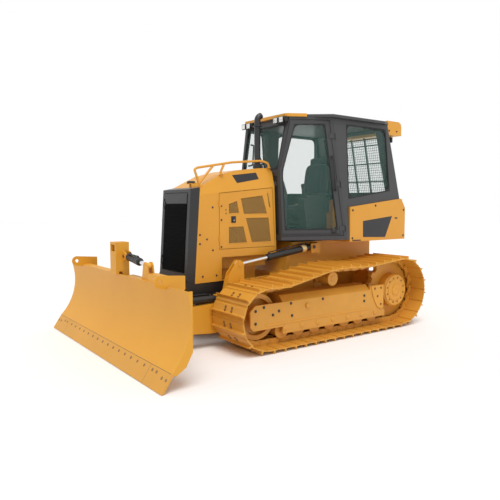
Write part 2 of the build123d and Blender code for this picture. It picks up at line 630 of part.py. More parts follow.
def door_plane(inset=0):
    """The left door's plane: x runs rearwards from pillar A, y up, its normal outwards."""
    run = Vector(PILLAR_B[0] - PILLAR_A[0], PILLAR_B[1] - PILLAR_A[1], 0).normalized()
    normal = Vector(run.Y, -run.X, 0)
    origin = Vector(at(PILLAR_A[0]), PILLAR_A[1], 0) - normal * inset
    return Plane(origin=origin, x_dir=run, z_dir=normal)


def side_plane(inset=0):
    """The left side's leaning plane behind the door: x runs rearwards from the axle, y up, normal outwards."""
    tilt = radians(SIDE_LEAN)
    normal = Vector(0, cos(tilt), sin(tilt))
    origin = Vector(at(0), PILLAR_B[1], CAB_FLOOR) - normal * inset
    return Plane(origin=origin, x_dir=(-1, 0, 0), z_dir=normal)


# Door in its own plane: rearwards from pillar A at the floor, height
DOOR_RUN = hypot(PILLAR_A[0] - PILLAR_B[0], PILLAR_A[1] - PILLAR_B[1])
DOOR_GAP = 6
DOOR_EDGE = ((10, 1238), (-32, 2036), (104, CAB_TOP - 37), (612, CAB_TOP - 37), (828, 1238))
DOOR_GLASS = ((46, 1312), (4, 2044), (160, CAB_TOP - 91), (560, CAB_TOP - 78), (750, 1312))
SIDE_GLASS_TOP = CAB_TOP - CAB_FLOOR - 63
SIDE_GLASS = ((-690, 532), (-700, SIDE_GLASS_TOP), (70, SIDE_GLASS_TOP), (125, 646))
WINDOW_TOP = CAB_TOP - 85
FRONT_GLASS = ((-375, 1260), (-375, 1990), (375, 1990), (375, 1260))
FRONT_GLASS_TOP = ((-372, 2075), (-400, WINDOW_TOP), (400, WINDOW_TOP), (372, 2075))
REAR_GLASS = ((-560, 1800), (-520, WINDOW_TOP), (520, WINDOW_TOP), (560, 1800))
GLASS = 6


def outline_face(plane, points, grow=0):
    """A closed outline on a plane, grown by an amount."""
    with BuildSketch(plane) as outline:
        with BuildLine():
            Polyline(*points, close=True)
        make_face()
        if grow:
            offset(amount=grow, kind=Kind.INTERSECTION)
    return outline.sketch


def both_hands(face):
    """A face for the left, and its mirror image for the right."""
    return (face, mirror(face, about=Plane.XZ))


# Cab frame: pillars, sills and roof rails, with its doors and windows cut
BODY_CUT = ((700, 1100), (700, 1602 + SEAT_GAP), (686, 1602 + SEAT_GAP), (-340, 1716 + SEAT_GAP),
            (-426, 1586), (-600, 1586), (-600, 1100))
FLOOR_PLATE = ((712, -390), (712, 390), (1440, 390), (1440, -390))
with BuildPart() as cab:
    add(CAB_SOLID)
    add(CAB_INSIDE, mode=Mode.SUBTRACT)
    for plane, points, grow in ((door_plane(), DOOR_EDGE, DOOR_GAP), (side_plane(), SIDE_GLASS, 0)):
        for face in both_hands(outline_face(plane, points, grow)):
            extrude(face, amount=2 * CAB_WALL, both=True, mode=Mode.SUBTRACT)
    for points in (FRONT_GLASS, FRONT_GLASS_TOP):
        extrude(outline_face(Plane.YZ.offset(at(1200)), points), amount=500, mode=Mode.SUBTRACT)
    extrude(outline_face(Plane.YZ.offset(at(-600)), REAR_GLASS), amount=600, mode=Mode.SUBTRACT)
    side_block(placed(BODY_CUT), -900, 900, Mode.SUBTRACT)
    box(at(712) - SEAT_GAP, at(1440) + SEAT_GAP, -390 - SEAT_GAP, 390 + SEAT_GAP, CAB_FLOOR - 5,
        CAB_FLOOR + CAB_WALL + 1, Mode.SUBTRACT)
save(cab.part, "cab_frame")

with BuildPart() as floor:
    box(at(712), at(1440), -390, 390, CAB_FLOOR, CAB_FLOOR + 40)
save(floor.part, "cab_floor")

# Roof, with the bar along its front edge and the lamps under it
half = [(at(x), y) for x, y in ROOF_OUTLINE]
front = half[:3]
with BuildPart() as roof:
    block(Plane.XY.offset(CAB_TOP + SEAT_GAP), half + [(x, -y) for x, y in reversed(half)], ROOF_TOP - CAB_TOP)
    fillet(roof.faces().sort_by(Axis.Z)[-1].edges(), 12)
save(roof.part, "cab_roof")

with BuildPart() as bar:
    outer = [(x + ROOF_BAR, y + 10) for x, y in front[:2]] + [(front[2][0] + ROOF_BAR / 2, front[2][1] + ROOF_BAR)]
    inner = [(x + SEAT_GAP, y + SEAT_GAP) for x, y in front]
    ring = outer + list(reversed(inner))
    far = [(x, -y) for x, y in ring]
    for points in (ring, far):
        block(Plane.XY.offset(CAB_TOP + SEAT_GAP), points, ROOF_TOP - CAB_TOP)
    box(front[0][0] + SEAT_GAP, front[0][0] + ROOF_BAR, -front[0][1] - 5, front[0][1] + 5, CAB_TOP + SEAT_GAP,
        ROOF_TOP + SEAT_GAP)
save(bar.part, "roof_bar")

LAMP_YS = (-400, -275, 275, 400)
LAMP_LOW = CAB_TOP - 60
LAMP_TOP = CAB_TOP - SEAT_GAP
LAMP_BLOCK = ((1467, LAMP_LOW), (1458, LAMP_TOP), (1515, LAMP_TOP), (1528, CAB_TOP - 25), (1518, LAMP_LOW))
with BuildPart() as lamps:
    for hand in HANDS:
        y_in, y_out = sorted((hand * 215, hand * 455))
        side_block(placed(LAMP_BLOCK), y_in, y_out)
    for y in LAMP_YS:
        rod((at(1512), y, CAB_TOP - 33), (at(1536), y, CAB_TOP - 35), 26)
save(lamps.part, "front_lamps")

# Rear housing behind the roof
with BuildPart() as housing:
    side_block(placed(((-142.2, CAB_TOP - 125), (ROOF_REAR - 0.4, CAB_TOP - 74), (ROOF_REAR - 0.4, ROOF_TOP + 25),
                       (-370, ROOF_TOP + 25), (-418, ROOF_TOP - 1), (-430, CAB_TOP - 5), (-430, CAB_TOP - 125))),
               -690, 690)
save(housing.part, "roof_housing")

# Rear body: fuel tank and side boxes in one stepped wall round the cab's back
with BuildPart() as body:
    side_block(placed(BODY_OUTLINE), -BODY_HALF, BODY_HALF)
    box(at(-250), at(710), -470, 470, BODY_LOW + 60, 1800, Mode.SUBTRACT)
save(body.part, "rear_body")


def wall_slab(low, high, points):
    """A pane's side outline set in the middle of a wall that runs between two corners of the cab's outline."""
    (x0, z0), (x1, z1) = points
    middle = (CAB_WALL - GLASS) / 2

    def wall(z, depth):
        return (x0 + (x1 - x0) * (z - z0) / (z1 - z0) + depth, z)
    inward = -1 if x0 > 0 else 1
    near = inward * middle
    far = inward * (middle + GLASS)
    return placed((wall(low, near), wall(high, near), wall(high, far), wall(low, far)))


# Fixed glass: quarter windows, windscreen in two panes, and rear window
PANES = ((FRONT_GLASS, CAB_OUTLINE[0:2]), (FRONT_GLASS_TOP, CAB_OUTLINE[1:3]), (REAR_GLASS, CAB_OUTLINE[3:5]))
sheets = []
with BuildPart() as quarter:
    for face in both_hands(outline_face(side_plane(CAB_WALL / 2), SIDE_GLASS, -SEAT_GAP)):
        extrude(face, amount=GLASS / 2, both=True)
sheets += quarter.part.solids()
for outline, wall in PANES:
    with BuildPart() as pane:
        extrude(outline_face(Plane.YZ.offset(at(-700)), outline, -SEAT_GAP), amount=2600)
        heights = [z for _, z in outline]
        side_block(wall_slab(min(heights) - 5, max(heights) + 5, wall), -700, 700, Mode.INTERSECT)
    sheets += pane.part.solids()
save(Compound(children=sheets), "cab_glass")

# Cab doors, hung at pillar B, and their glass
CAB_HINGE_OUT = 13           # hinge axis out from the door's face
CAB_HINGE_R = 10
DOOR_WAY = door_plane()
SEAM = Vector(0.1213, -0.0566, 0.991)
SEAM_FOOT = Vector(at(PILLAR_B[0]), PILLAR_B[1], CAB_FLOOR) + DOOR_WAY.z_dir * CAB_HINGE_OUT
with BuildPart() as leaf:
    extrude(outline_face(door_plane(), DOOR_EDGE), amount=-CAB_WALL)
    extrude(outline_face(door_plane(-1), DOOR_GLASS), amount=-CAB_WALL - 2, mode=Mode.SUBTRACT)
    for height in (150, 720, 1330):
        middle = SEAM_FOOT + SEAM * height
        rod(middle - SEAM * 35, middle + SEAM * 35, CAB_HINGE_R)
        for out, near, depth in ((8, 0, 6), (6, -60, 8)):
            strap = Plane(origin=middle - DOOR_WAY.z_dir * (CAB_HINGE_OUT - out), x_dir=DOOR_WAY.x_dir,
                          z_dir=DOOR_WAY.z_dir)
            block(strap, ((-85, -30), (near, -30), (near, 30), (-85, 30)), -depth)
save_pair(leaf.part, "cab_door")
with BuildPart() as leaf_glass:
    extrude(outline_face(door_plane((CAB_WALL - GLASS) / 2), DOOR_GLASS, -SEAT_GAP), amount=-GLASS)
save_pair(leaf_glass.part, "door_glass")

# Seat on its pedestal
FLOOR_TOP = CAB_FLOOR + 40
SEAT_LOW = CAB_FLOOR + 330
with BuildPart() as seat:
    box(at(560), at(1040), -240, 240, SEAT_LOW, SEAT_LOW + 120)
    side_block(placed(((560, SEAT_LOW + 120), (650, SEAT_LOW + 120), (560, SEAT_LOW + 790),
                       (460, SEAT_LOW + 790), (500, SEAT_LOW), (560, SEAT_LOW))), -230, 230)
save(seat.part, "seat")
with BuildPart() as pedestal:
    box(at(720), at(980), -180, 180, FLOOR_TOP + SEAT_GAP, SEAT_LOW - SEAT_GAP)
save(pedestal.part, "seat_pedestal")
with BuildPart() as consoles:
    for hand in HANDS:
        y_in, y_out = sorted((hand * 270, hand * 388))
        side_block(placed(((720, FLOOR_TOP + SEAT_GAP), (720, 1760), (1000, 1760), (1130, 1700), (1130, 1640),
                           (1060, FLOOR_TOP + SEAT_GAP))), y_in, y_out)
        rod((at(1080), hand * 330, 1690), (at(1090), hand * 330, 1850), 12)
        rod((at(1089), hand * 330, 1834), (at(1093), hand * 330, 1890), 26)
    side_block(placed(((1290, FLOOR_TOP + SEAT_GAP), (1430, FLOOR_TOP + SEAT_GAP), (1460, 1880),
                       (1350, 1940), (1290, 1780))), -240, 240)
save(consoles.part, "consoles")

# Rear screen: a frame of bars on the cab's rear wall
BAR_R = 10
WALL_TOP, WALL_LOW = CAB_OUTLINE[3:5]
WALL_WAY = Vector(WALL_TOP[0] - WALL_LOW[0], 0, WALL_TOP[1] - WALL_LOW[1]).normalized()
WALL_OUT = Vector(-WALL_WAY.Z, 0, WALL_WAY.X)


def on_rear_wall(y, z, radius):
    """A bar's centre where it lies on the rear wall at a height."""
    x = WALL_LOW[0] + (WALL_TOP[0] - WALL_LOW[0]) * (z - WALL_LOW[1]) / (WALL_TOP[1] - WALL_LOW[1])
    return Vector(at(x), y, z) + WALL_OUT * (radius + SEAT_GAP)


SCREEN_LOW = 1775
SCREEN_TOP = CAB_TOP - 155
SCREEN_HALF = 590
CROSS_R = 8


def square_bar(start, end, half):
    """A square bar along the rear wall, one of its faces flat to it."""
    with BuildSketch(Plane(origin=start, x_dir=WALL_OUT, z_dir=end - start)) as face:
        Rectangle(2 * half, 2 * half)
    extrude(face.sketch, amount=(end - start).length)


with BuildPart() as screen:
    for y in (-SCREEN_HALF, -250, 0, 250, SCREEN_HALF):
        square_bar(on_rear_wall(y, SCREEN_LOW - 20, BAR_R), on_rear_wall(y, SCREEN_TOP + 20, BAR_R), BAR_R)
    for z in (SCREEN_LOW, 1968, 2223, 2478, SCREEN_TOP):
        square_bar(on_rear_wall(-SCREEN_HALF, z, BAR_R), on_rear_wall(SCREEN_HALF, z, BAR_R), CROSS_R)
save(screen.part, "rear_screen")

# Push frame: two arms outside the hull, joined ahead of the nose and drawn in to the blade's pivot
PUSH_PIN_R = 40
EYE_HALF = 25                # half the width of a cylinder's eye
CHEEK = 16                   # plate beside an eye
ARM = placed(((1415, 380), (1415, 480), (1460, 515), (2175, 515), (2185, 930), (2200, 965), (2240, 985),
              (2280, 970), (2390, 830), (2440, 640), (2445, 515), (3010, 490), (3010, 200), (2900, 190),
              (2600, 165), (2300, 215), (1560, 345), (1450, 345)))
NOSE_REACH = 75              # push frame's nose round the vertical pin
NOSE_HALF_H = 60
CROSS_BEAM = (2948, 3010)    # rear and front faces of the beam between the arms
YOKE_PIN_R = 45
with BuildPart() as push:
    for hand in HANDS:
        y_in, y_out = sorted((hand * PUSH_IN, hand * PUSH_OUT))
        side_block(ARM, y_in, y_out)
        bore = [(at(PUSH_PIVOT[0]), y, PUSH_PIVOT[1]) for y in (y_in - 5, y_out + 5)]
        rod(bore[0], bore[1], PUSH_PIN_R + PIN_GAP, Mode.SUBTRACT)
        y_in, y_out = sorted((hand * (LIFT_Y - EYE_HALF - PIN_GAP), hand * (LIFT_Y + EYE_HALF + PIN_GAP)))
        side_block(placed(((2100, 800), (2100, 1000), (2450, 1000), (2450, 800))), y_in, y_out, Mode.SUBTRACT)
    box(at(CROSS_BEAM[0]), at(CROSS_BEAM[1]), -PUSH_IN, PUSH_IN, 200, 405)
    with BuildSketch(Plane.XY.offset(YOKE_Z - NOSE_HALF_H)) as nose_plan:
        with BuildLine():
            Polyline((at(CROSS_BEAM[1] - 20), -PUSH_OUT), (at(CROSS_BEAM[1] - 20), PUSH_OUT),
                     (at(YOKE_PIVOT), NOSE_REACH), (at(YOKE_PIVOT), -NOSE_REACH), close=True)
        make_face()
        with Locations((at(YOKE_PIVOT), 0)):
            Circle(NOSE_REACH)
            Circle(YOKE_PIN_R + PIN_GAP, mode=Mode.SUBTRACT)
    extrude(nose_plan.sketch, amount=2 * NOSE_HALF_H)
    for hand in HANDS:
        y_in, y_out = sorted((hand * (ANGLE_MOUNT[1] - 40), hand * (ANGLE_MOUNT[1] + 40)))
        x = at(ANGLE_MOUNT[0])
        gap = EYE_HALF + PIN_GAP
        box(x - 60, x + 30, y_in, y_out, 490, ANGLE_Z - gap)
        box(x - 105, x - 60, y_in, y_out, 490, ANGLE_Z + gap + CHEEK)
        box(x - 60, x + 30, y_in, y_out, ANGLE_Z + gap, ANGLE_Z + gap + CHEEK)
        rod((x, hand * ANGLE_MOUNT[1], 500), (x, hand * ANGLE_MOUNT[1], ANGLE_Z + gap + CHEEK + PIN_HEAD),
            ANGLE_EYE_R * EYE_BORE)
        for side in (-1, 1):
            inner = hand * LIFT_Y + side * (PUSH_OUT - LIFT_Y)
            outer = inner + side * LIFT_HEAD
            rod((at(LIFT_EYE[0]), inner, LIFT_EYE[1]), (at(LIFT_EYE[0]), outer, LIFT_EYE[1]), 24)
save(push.part, "push_frame")


def cylinder(start, end, barrel_share, radius, rod_radius, eye_half, eye_r, axis, hidden):
    """Barrel and rod between two pins whose axis is given: the two finished pieces."""
    start, end, across = Vector(start), Vector(end), Vector(axis)
    way = (end - start).normalized()
    span = (end - start).length
    mouth = span * barrel_share
    shoulder = eye_r + 16
    with BuildPart() as barrel:
        rod(start - across * eye_half, start + across * eye_half, eye_r)
        rod(start + way * eye_r * 0.7, start + way * (shoulder + 2), eye_half * 0.9)
        rod(start - across * (eye_half + 1), start + across * (eye_half + 1), eye_r * EYE_BORE + SEAT_GAP,
            Mode.SUBTRACT)
        rod(start + way * shoulder, start + way * mouth, radius)
        rod(start + way * (shoulder + 10), start + way * (mouth + 1), rod_radius + PIN_GAP, Mode.SUBTRACT)
    with BuildPart() as stem:
        rod(end - across * eye_half, end + across * eye_half, eye_r)
        rod(start + way * (mouth - hidden), end - way * eye_r * 0.7, rod_radius)
    return barrel.part, stem.part


lift = cylinder((at(LIFT_MOUNT[0]), LIFT_Y, LIFT_MOUNT[1]), (at(LIFT_EYE[0]), LIFT_Y, LIFT_EYE[1]), 0.63,
                LIFT_BARREL_R, LIFT_ROD_R, EYE_HALF, LIFT_EYE_R, (0, 1, 0), 230)
save_pair(lift[0], "lift_barrel")
save_pair(lift[1], "lift_rod")
angle = cylinder((at(ANGLE_MOUNT[0]), ANGLE_MOUNT[1], ANGLE_Z), (at(ANGLE_EYE[0]), ANGLE_EYE[1], ANGLE_Z), 0.67,
                 38, 20, EYE_HALF, ANGLE_EYE_R, (0, 0, 1), 232)
save_pair(angle[0], "angle_barrel")
save_pair(angle[1], "angle_rod")
TILT_HALF = 20
tilt = cylinder((at(TILT_X), TILT_MOUNT[0], TILT_MOUNT[1]), (at(TILT_X), TILT_EYE[0], TILT_EYE[1]), 0.62,
                40, 22, TILT_HALF, TILT_EYE_R, (1, 0, 0), 130)
save(tilt[0], "tilt_barrel")
save(tilt[1], "tilt_rod")

# Yoke: turns on the push frame's nose and carries the tower
TILT_PIN_R = 55
YOKE_BACK = 3385
YOKE_FACE = 3420
with BuildPart() as yoke:
    ear_in = NOSE_HALF_H + PIN_GAP
    ear_out = ear_in + 34
    for low, high in ((YOKE_Z - ear_out, YOKE_Z - ear_in), (YOKE_Z + ear_in, YOKE_Z + ear_out)):
        box(at(YOKE_PIVOT - 80), at(YOKE_BACK + 15), -80, 80, low, high)
    box(at(YOKE_BACK), at(YOKE_FACE), -80, 80, YOKE_Z - ear_out, YOKE_Z + ear_out)
    box(at(YOKE_BACK), at(YOKE_FACE), -500, 500, YOKE_Z + ear_in, YOKE_Z + 240)
    rod((at(YOKE_PIVOT), 0, YOKE_Z - ear_out), (at(YOKE_PIVOT), 0, YOKE_Z + ear_out), YOKE_PIN_R)
    for hand in HANDS:
        y_in, y_out = sorted((hand * 360, hand * 500))
        gap = EYE_HALF + PIN_GAP
        for low, high in ((ANGLE_Z - gap - CHEEK, ANGLE_Z - gap), (ANGLE_Z + gap, ANGLE_Z + gap + CHEEK)):
            box(at(ANGLE_EYE[0] - 40), at(YOKE_BACK + 5), y_in, y_out, low, high)
    side_block(placed(((YOKE_BACK, 600), (3430, 800), (3430, TOWER_TOP), (3585, TOWER_TOP), (3585, TOWER_LIP),
                       (3551, TOWER_LIP), (3551, 900), (3512, 900), (3476, 700), (3460, 600))),
               -TOWER_HALF, TOWER_HALF)
    side_block(placed(((3400, 1120), (3400, 1195), (3600, 1195), (3600, 1120))), -50, 50, Mode.SUBTRACT)
    rod((at(YOKE_FACE - 5), 0, YOKE_Z), (at(3480), 0, YOKE_Z), TILT_PIN_R)
    for low in (TILT_X - TILT_HALF - 3 - CHEEK, TILT_X + TILT_HALF + 3):
        side = Plane.YZ.offset(at(low))
        block(side, ((TOWER_HALF - 5, 1010), (TILT_MOUNT[0] + 15, 1030), (TILT_MOUNT[0] + 36, 1055),
                     (TILT_MOUNT[0] + 36, 1090), (TILT_MOUNT[0] + 15, 1112), (TOWER_HALF - 5, 1130)), CHEEK)
    reach = TILT_HALF + 3 + CHEEK
    rod((at(TILT_X - reach), *TILT_MOUNT), (at(TILT_X + reach + PIN_HEAD), *TILT_MOUNT), TILT_EYE_R * EYE_BORE)
    for hand in HANDS:
        for low, high in ((ANGLE_Z - EYE_HALF - PIN_GAP - CHEEK - PIN_HEAD, ANGLE_Z - EYE_HALF - PIN_GAP - CHEEK),
                          (ANGLE_Z + EYE_HALF + PIN_GAP + CHEEK, ANGLE_Z + EYE_HALF + PIN_GAP + CHEEK + PIN_HEAD)):
            rod((at(ANGLE_EYE[0]), hand * ANGLE_EYE[1], low), (at(ANGLE_EYE[0]), hand * ANGLE_EYE[1], high), 20)
save(yoke.part, "yoke_tower")

# Blade
BLADE_HALF = BLADE_WIDTH / 2
SHEET = 14
SEAM_LINE = (3700, 168)      # mouldboard's lower edge on the cutting edge
WAIST = (3508, 575)
LIP = (3542, 872)
TIP = (EDGE_REACH, EDGE_GAP)
BEAM_LOW = 790
BEAM_TOP = LIP[1]
BACK = 3428                  # rear faces of the blade's stiffeners
RIB_YS = (190, 640)
GUSSET_Y = 1158              # outer ribs, whose heads are the lifting lugs
GUSSET = 20
LUG = (3605, 916)            # lifting hole
LUG_R = 60
LUG_HOLE = 23
LUG_REAR = 3341              # rear of the outer ribs' heads
HIGH_BEAM = 945              # top of the raised box that carries the tilt cylinder's rod


def mould_front(z):
    """Distance ahead of the mouldboard's face at a height, on the circle through its three points."""
    (x1, z1), (x2, z2), (x3, z3) = SEAM_LINE, WAIST, LIP
    a, b = 2 * (x2 - x1), 2 * (z2 - z1)
    c, d = 2 * (x3 - x2), 2 * (z3 - z2)
    e = x2 ** 2 - x1 ** 2 + z2 ** 2 - z1 ** 2
    f = x3 ** 2 - x2 ** 2 + z3 ** 2 - z2 ** 2
    centre_x = (e * d - b * f) / (a * d - b * c)
    centre_z = (a * f - e * c) / (a * d - b * c)
    return centre_x - (hypot(x1 - centre_x, z1 - centre_z) ** 2 - (z - centre_z) ** 2) ** 0.5


def in_sheet(*heights):
    """Points in the middle of the mouldboard's sheet at these heights."""
    return tuple((mould_front(z) - SHEET / 2, z) for z in heights)


with BuildPart() as blade:
    with BuildSketch(Plane.XZ) as section:
        with BuildLine():
            arc_front = ThreePointArc(*placed((SEAM_LINE, WAIST, LIP)))
            arc_back = ThreePointArc(*placed(((SEAM_LINE[0] - SHEET, SEAM_LINE[1] - 6), (WAIST[0] - SHEET, WAIST[1]),
                                              (LIP[0] - SHEET, LIP[1]))))
            Line(arc_front @ 0, arc_back @ 0)
            Line(arc_front @ 1, arc_back @ 1)
        make_face()
    extrude(section.sketch, amount=BLADE_HALF - SHEET, both=True)
    # End plates, close behind the sheet
    end_rear = WAIST[0] - SHEET - 4
    for hand in HANDS:
        y_in, y_out = sorted((hand * (BLADE_HALF - SHEET), hand * BLADE_HALF))
        with BuildSketch(Plane.XZ.offset(-y_out)) as end_plate:
            with BuildLine():
                ThreePointArc(*placed((SEAM_LINE, WAIST, LIP)))
                Polyline(*placed((LIP, (end_rear, LIP[1]), (end_rear, 330), (3560, 205),
                                  (SEAM_LINE[0] - 32, SEAM_LINE[1] - 32), (SEAM_LINE[0] - 16, SEAM_LINE[1] - 10.4),
                                  SEAM_LINE)))
            make_face()
        extrude(end_plate.sketch, amount=SHEET)
    # Upper beam, in two halves beside the tower, with a raised box on the left
    for hand in HANDS:
        y_in, y_out = sorted((hand * RIB_YS[0], hand * (GUSSET_Y + GUSSET)))
        side_block(placed(((BACK, BEAM_LOW), (BACK, BEAM_TOP), (LIP[0] - SHEET / 2, BEAM_TOP), *in_sheet(BEAM_LOW))),
                   y_in, y_out)
    side_block(placed(((BACK, BEAM_TOP - 1), (BACK, HIGH_BEAM), (LIP[0] - 22, HIGH_BEAM), (LIP[0] - 14, BEAM_TOP - 1))),
               TILT_EYE[0] + 95, GUSSET_Y + GUSSET)
    # Ribs from the lower beam to the upper one
    for hand in HANDS:
        for y in RIB_YS:
            y_in, y_out = sorted((hand * y, hand * (y + 16)))
            side_block(placed(((3680, 160), (3560, 186), (BACK, 330), (BACK, BEAM_LOW + 5),
                               *in_sheet(BEAM_LOW + 5, 640, 560, 390, 270))), y_in, y_out)
        y_in, y_out = sorted((hand * GUSSET_Y, hand * (GUSSET_Y + GUSSET)))
        side_block(placed(((3680, 160), (3560, 186), (BACK, 330), (BACK, 700), (LUG_REAR, 833), (LUG_REAR, 956),
                           (LUG[0], LUG[1] + LUG_R), (LUG[0], LUG[1] - LUG_R),
                           *in_sheet(LIP[1] - 30, 760, 640, 560, 390, 270))), y_in, y_out)
        rod((at(LUG[0]), y_in, LUG[1]), (at(LUG[0]), y_out, LUG[1]), LUG_R)
        rod((at(LUG[0]), y_in - 1, LUG[1]), (at(LUG[0]), y_out + 1, LUG[1]), LUG_HOLE, Mode.SUBTRACT)
    # Lower beam and the plate round the tilt pin
    side_block(placed(((BACK, 225), (BACK, 335), *in_sheet(335, 250, 190), (3680, 157), (3560, 175))),
               -GUSSET_Y - GUSSET, GUSSET_Y + GUSSET)
    box(at(BACK), at(BACK + 20), -206, 206, 300, YOKE_Z + 150)
    rod((at(BACK), 0, YOKE_Z), (at(3512), 0, YOKE_Z), 105)
    rod((at(BACK - 5), 0, YOKE_Z), (at(3486), 0, YOKE_Z), TILT_PIN_R + PIN_GAP, Mode.SUBTRACT)
    # Cheeks for the tilt cylinder's rod
    for low in (TILT_X - TILT_HALF - 3 - CHEEK, TILT_X + TILT_HALF + 3):
        side = Plane.YZ.offset(at(low))
        block(side, ((TILT_EYE[0] - 75, BEAM_TOP - 2), (TILT_EYE[0] - 45, TILT_EYE[1] + 10), (TILT_EYE[0] - 20, 1050),
                     (TILT_EYE[0] + 20, 1050), (TILT_EYE[0] + 45, TILT_EYE[1] + 10), (TILT_EYE[0] + 75, BEAM_TOP - 2)),
              CHEEK)
save(blade.part, "blade")

with BuildPart() as edge:
    side_block(placed(((SEAM_LINE[0] + 0.2, SEAM_LINE[1] - 0.3), TIP, (TIP[0] - 24, TIP[1]),
                       (SEAM_LINE[0] - 16, SEAM_LINE[1] - 11))), -BLADE_HALF, BLADE_HALF)
save(edge.part, "cutting_edge")

# Drawbar bracket behind the hull, with a bore for its pin
HITCH_BORE_R = 22
HITCH_PIN = -425
HITCH_LOW = 470
with BuildPart() as hitch:
    for low, high in ((HITCH_LOW, HITCH_LOW + 40), (HITCH_LOW + 110, HITCH_LOW + 140)):
        with BuildSketch(Plane.XY.offset(low)) as plate:
            with BuildLine():
                Polyline((at(HULL_REAR), -130), (at(HULL_REAR), 130), (at(-TRACK_REACH + 40), 60),
                         (at(-TRACK_REACH), 40), (at(-TRACK_REACH), -40), (at(-TRACK_REACH + 40), -60), close=True)
            make_face()
            with Locations((at(HITCH_PIN), 0)):
                Circle(HITCH_BORE_R, mode=Mode.SUBTRACT)
        extrude(plate.sketch, amount=high - low)
    box(at(HULL_REAR - 60), at(HULL_REAR), -110, 110, HITCH_LOW, HITCH_LOW + 140)
save(hitch.part, "rear_hitch")
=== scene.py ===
"""Crawler dozer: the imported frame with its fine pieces, finishes, light and camera."""
from math import cos, hypot, pi, radians, sin, tan

import bpy
import numpy as np
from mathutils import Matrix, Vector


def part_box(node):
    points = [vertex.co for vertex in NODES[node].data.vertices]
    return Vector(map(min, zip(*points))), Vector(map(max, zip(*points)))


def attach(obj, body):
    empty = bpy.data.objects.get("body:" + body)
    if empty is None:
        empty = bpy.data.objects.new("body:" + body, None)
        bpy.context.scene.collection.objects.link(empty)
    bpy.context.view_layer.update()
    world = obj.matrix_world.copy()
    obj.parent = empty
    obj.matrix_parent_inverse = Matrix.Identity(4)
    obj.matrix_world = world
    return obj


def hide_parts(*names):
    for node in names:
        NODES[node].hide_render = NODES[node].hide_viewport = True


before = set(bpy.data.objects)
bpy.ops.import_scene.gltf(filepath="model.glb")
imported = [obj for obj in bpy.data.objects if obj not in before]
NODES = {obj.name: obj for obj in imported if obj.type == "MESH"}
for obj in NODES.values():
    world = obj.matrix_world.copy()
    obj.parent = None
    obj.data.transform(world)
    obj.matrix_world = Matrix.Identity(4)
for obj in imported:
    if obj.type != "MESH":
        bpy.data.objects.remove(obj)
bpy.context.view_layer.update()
AXLE_X = -1.663              # sprocket axle; stations are counted ahead of it
SIDES, HANDS = ("left", "right"), (1, -1)
AHEAD, LEFT, RIGHT, UP = (1, 0, 0), (0, 1, 0), (0, -1, 0), (0, 0, 1)


# Shader arithmetic

class Wire:
    """A socket that takes part in arithmetic: each operation adds its own Math node."""

    def __init__(self, board, socket):
        self.board = board
        self.socket = socket

    def __add__(self, other):
        return self.board.math("ADD", self, other)

    def __sub__(self, other):
        return self.board.math("SUBTRACT", self, other)

    def __rsub__(self, other):
        return self.board.math("SUBTRACT", other, self)

    def __mul__(self, other):
        return self.board.math("MULTIPLY", self, other)

    def __gt__(self, other):
        return self.board.math("GREATER_THAN", self, other)

    __radd__ = __add__
    __rmul__ = __mul__


class Board:
    """The nodes of one material or world."""

    def __init__(self, owner):
        self.owner = owner
        owner.use_nodes = True
        self.tree = owner.node_tree
        self.tree.nodes.clear()

    def node(self, kind, settings, sockets, out=0):
        """Add a node: its settings first, then the values or links of its sockets."""
        made = self.tree.nodes.new(kind)
        for key, value in settings.items():
            setattr(made, key, value)
        for key, value in sockets.items():
            if isinstance(value, Wire):
                self.tree.links.new(value.socket, made.inputs[key])
            else:
                made.inputs[key].default_value = value
        return Wire(self, made.outputs[out]) if made.outputs else made

    def math(self, operation, *values):
        return self.node("ShaderNodeMath", {"operation": operation}, dict(enumerate(values)))

    def clamp(self, value):
        return self.math("MINIMUM", self.math("MAXIMUM", value, 0.0), 1.0)

    def mix(self, share, a, b):
        """Colour a turned into colour b by a share."""
        return self.node("ShaderNodeMix", {"data_type": "RGBA"}, {0: share, 6: a, 7: b}, out=2)

    def clouds(self, noise, gain, less, colour, shade):
        """A colour turned into its shade by a noise times a gain, less a constant."""
        return self.mix(self.clamp(noise * gain - less), (*colour, 1), (*shade, 1))

    def place(self):
        return self.node("ShaderNodeTexCoord", {}, {}, out="Object")

    def noise(self, scale, detail=3.0, where=None, roughness=0.5):
        return self.node("ShaderNodeTexNoise", {}, {"Vector": where or self.place(), "Scale": scale,
                                                    "Detail": detail, "Roughness": roughness})

    def streaks(self):
        """Fine lines round a polished surface."""
        across = self.node("ShaderNodeMapping", {}, {"Vector": self.place(), "Scale": (30, 900, 900)})
        return self.noise(1.0, 3.0, across)

    def bands(self, direction, **sockets):
        """Waves in bands along one axis."""
        return self.node("ShaderNodeTexWave", {"wave_type": "BANDS", "bands_direction": direction},
                         {"Vector": self.place(), **sockets})

    def axis(self, index, where=None):
        """One coordinate of a place."""
        return self.node("ShaderNodeSeparateXYZ", {}, {0: where or self.place()}, out=index)

    def finish(self, colour, roughness, metallic, height=None, bump=0.2, depth=0.001, **more):
        """Close the material with its Principled shader."""
        sockets = {"Base Color": colour, "Roughness": roughness, "Metallic": metallic}
        sockets.update({key.replace("_", " "): value for key, value in more.items()})
        if height is not None:
            sockets["Normal"] = self.node("ShaderNodeBump", {}, {"Strength": bump, "Distance": depth,
                                                                 "Height": height})
        shader = self.node("ShaderNodeBsdfPrincipled", {}, sockets)
        self.node("ShaderNodeOutputMaterial", {}, {"Surface": shader})
        return self.owner


def material_board(name):
    return Board(bpy.data.materials.new(name))


def darker(colour, share):
    return tuple(c * share for c in colour)


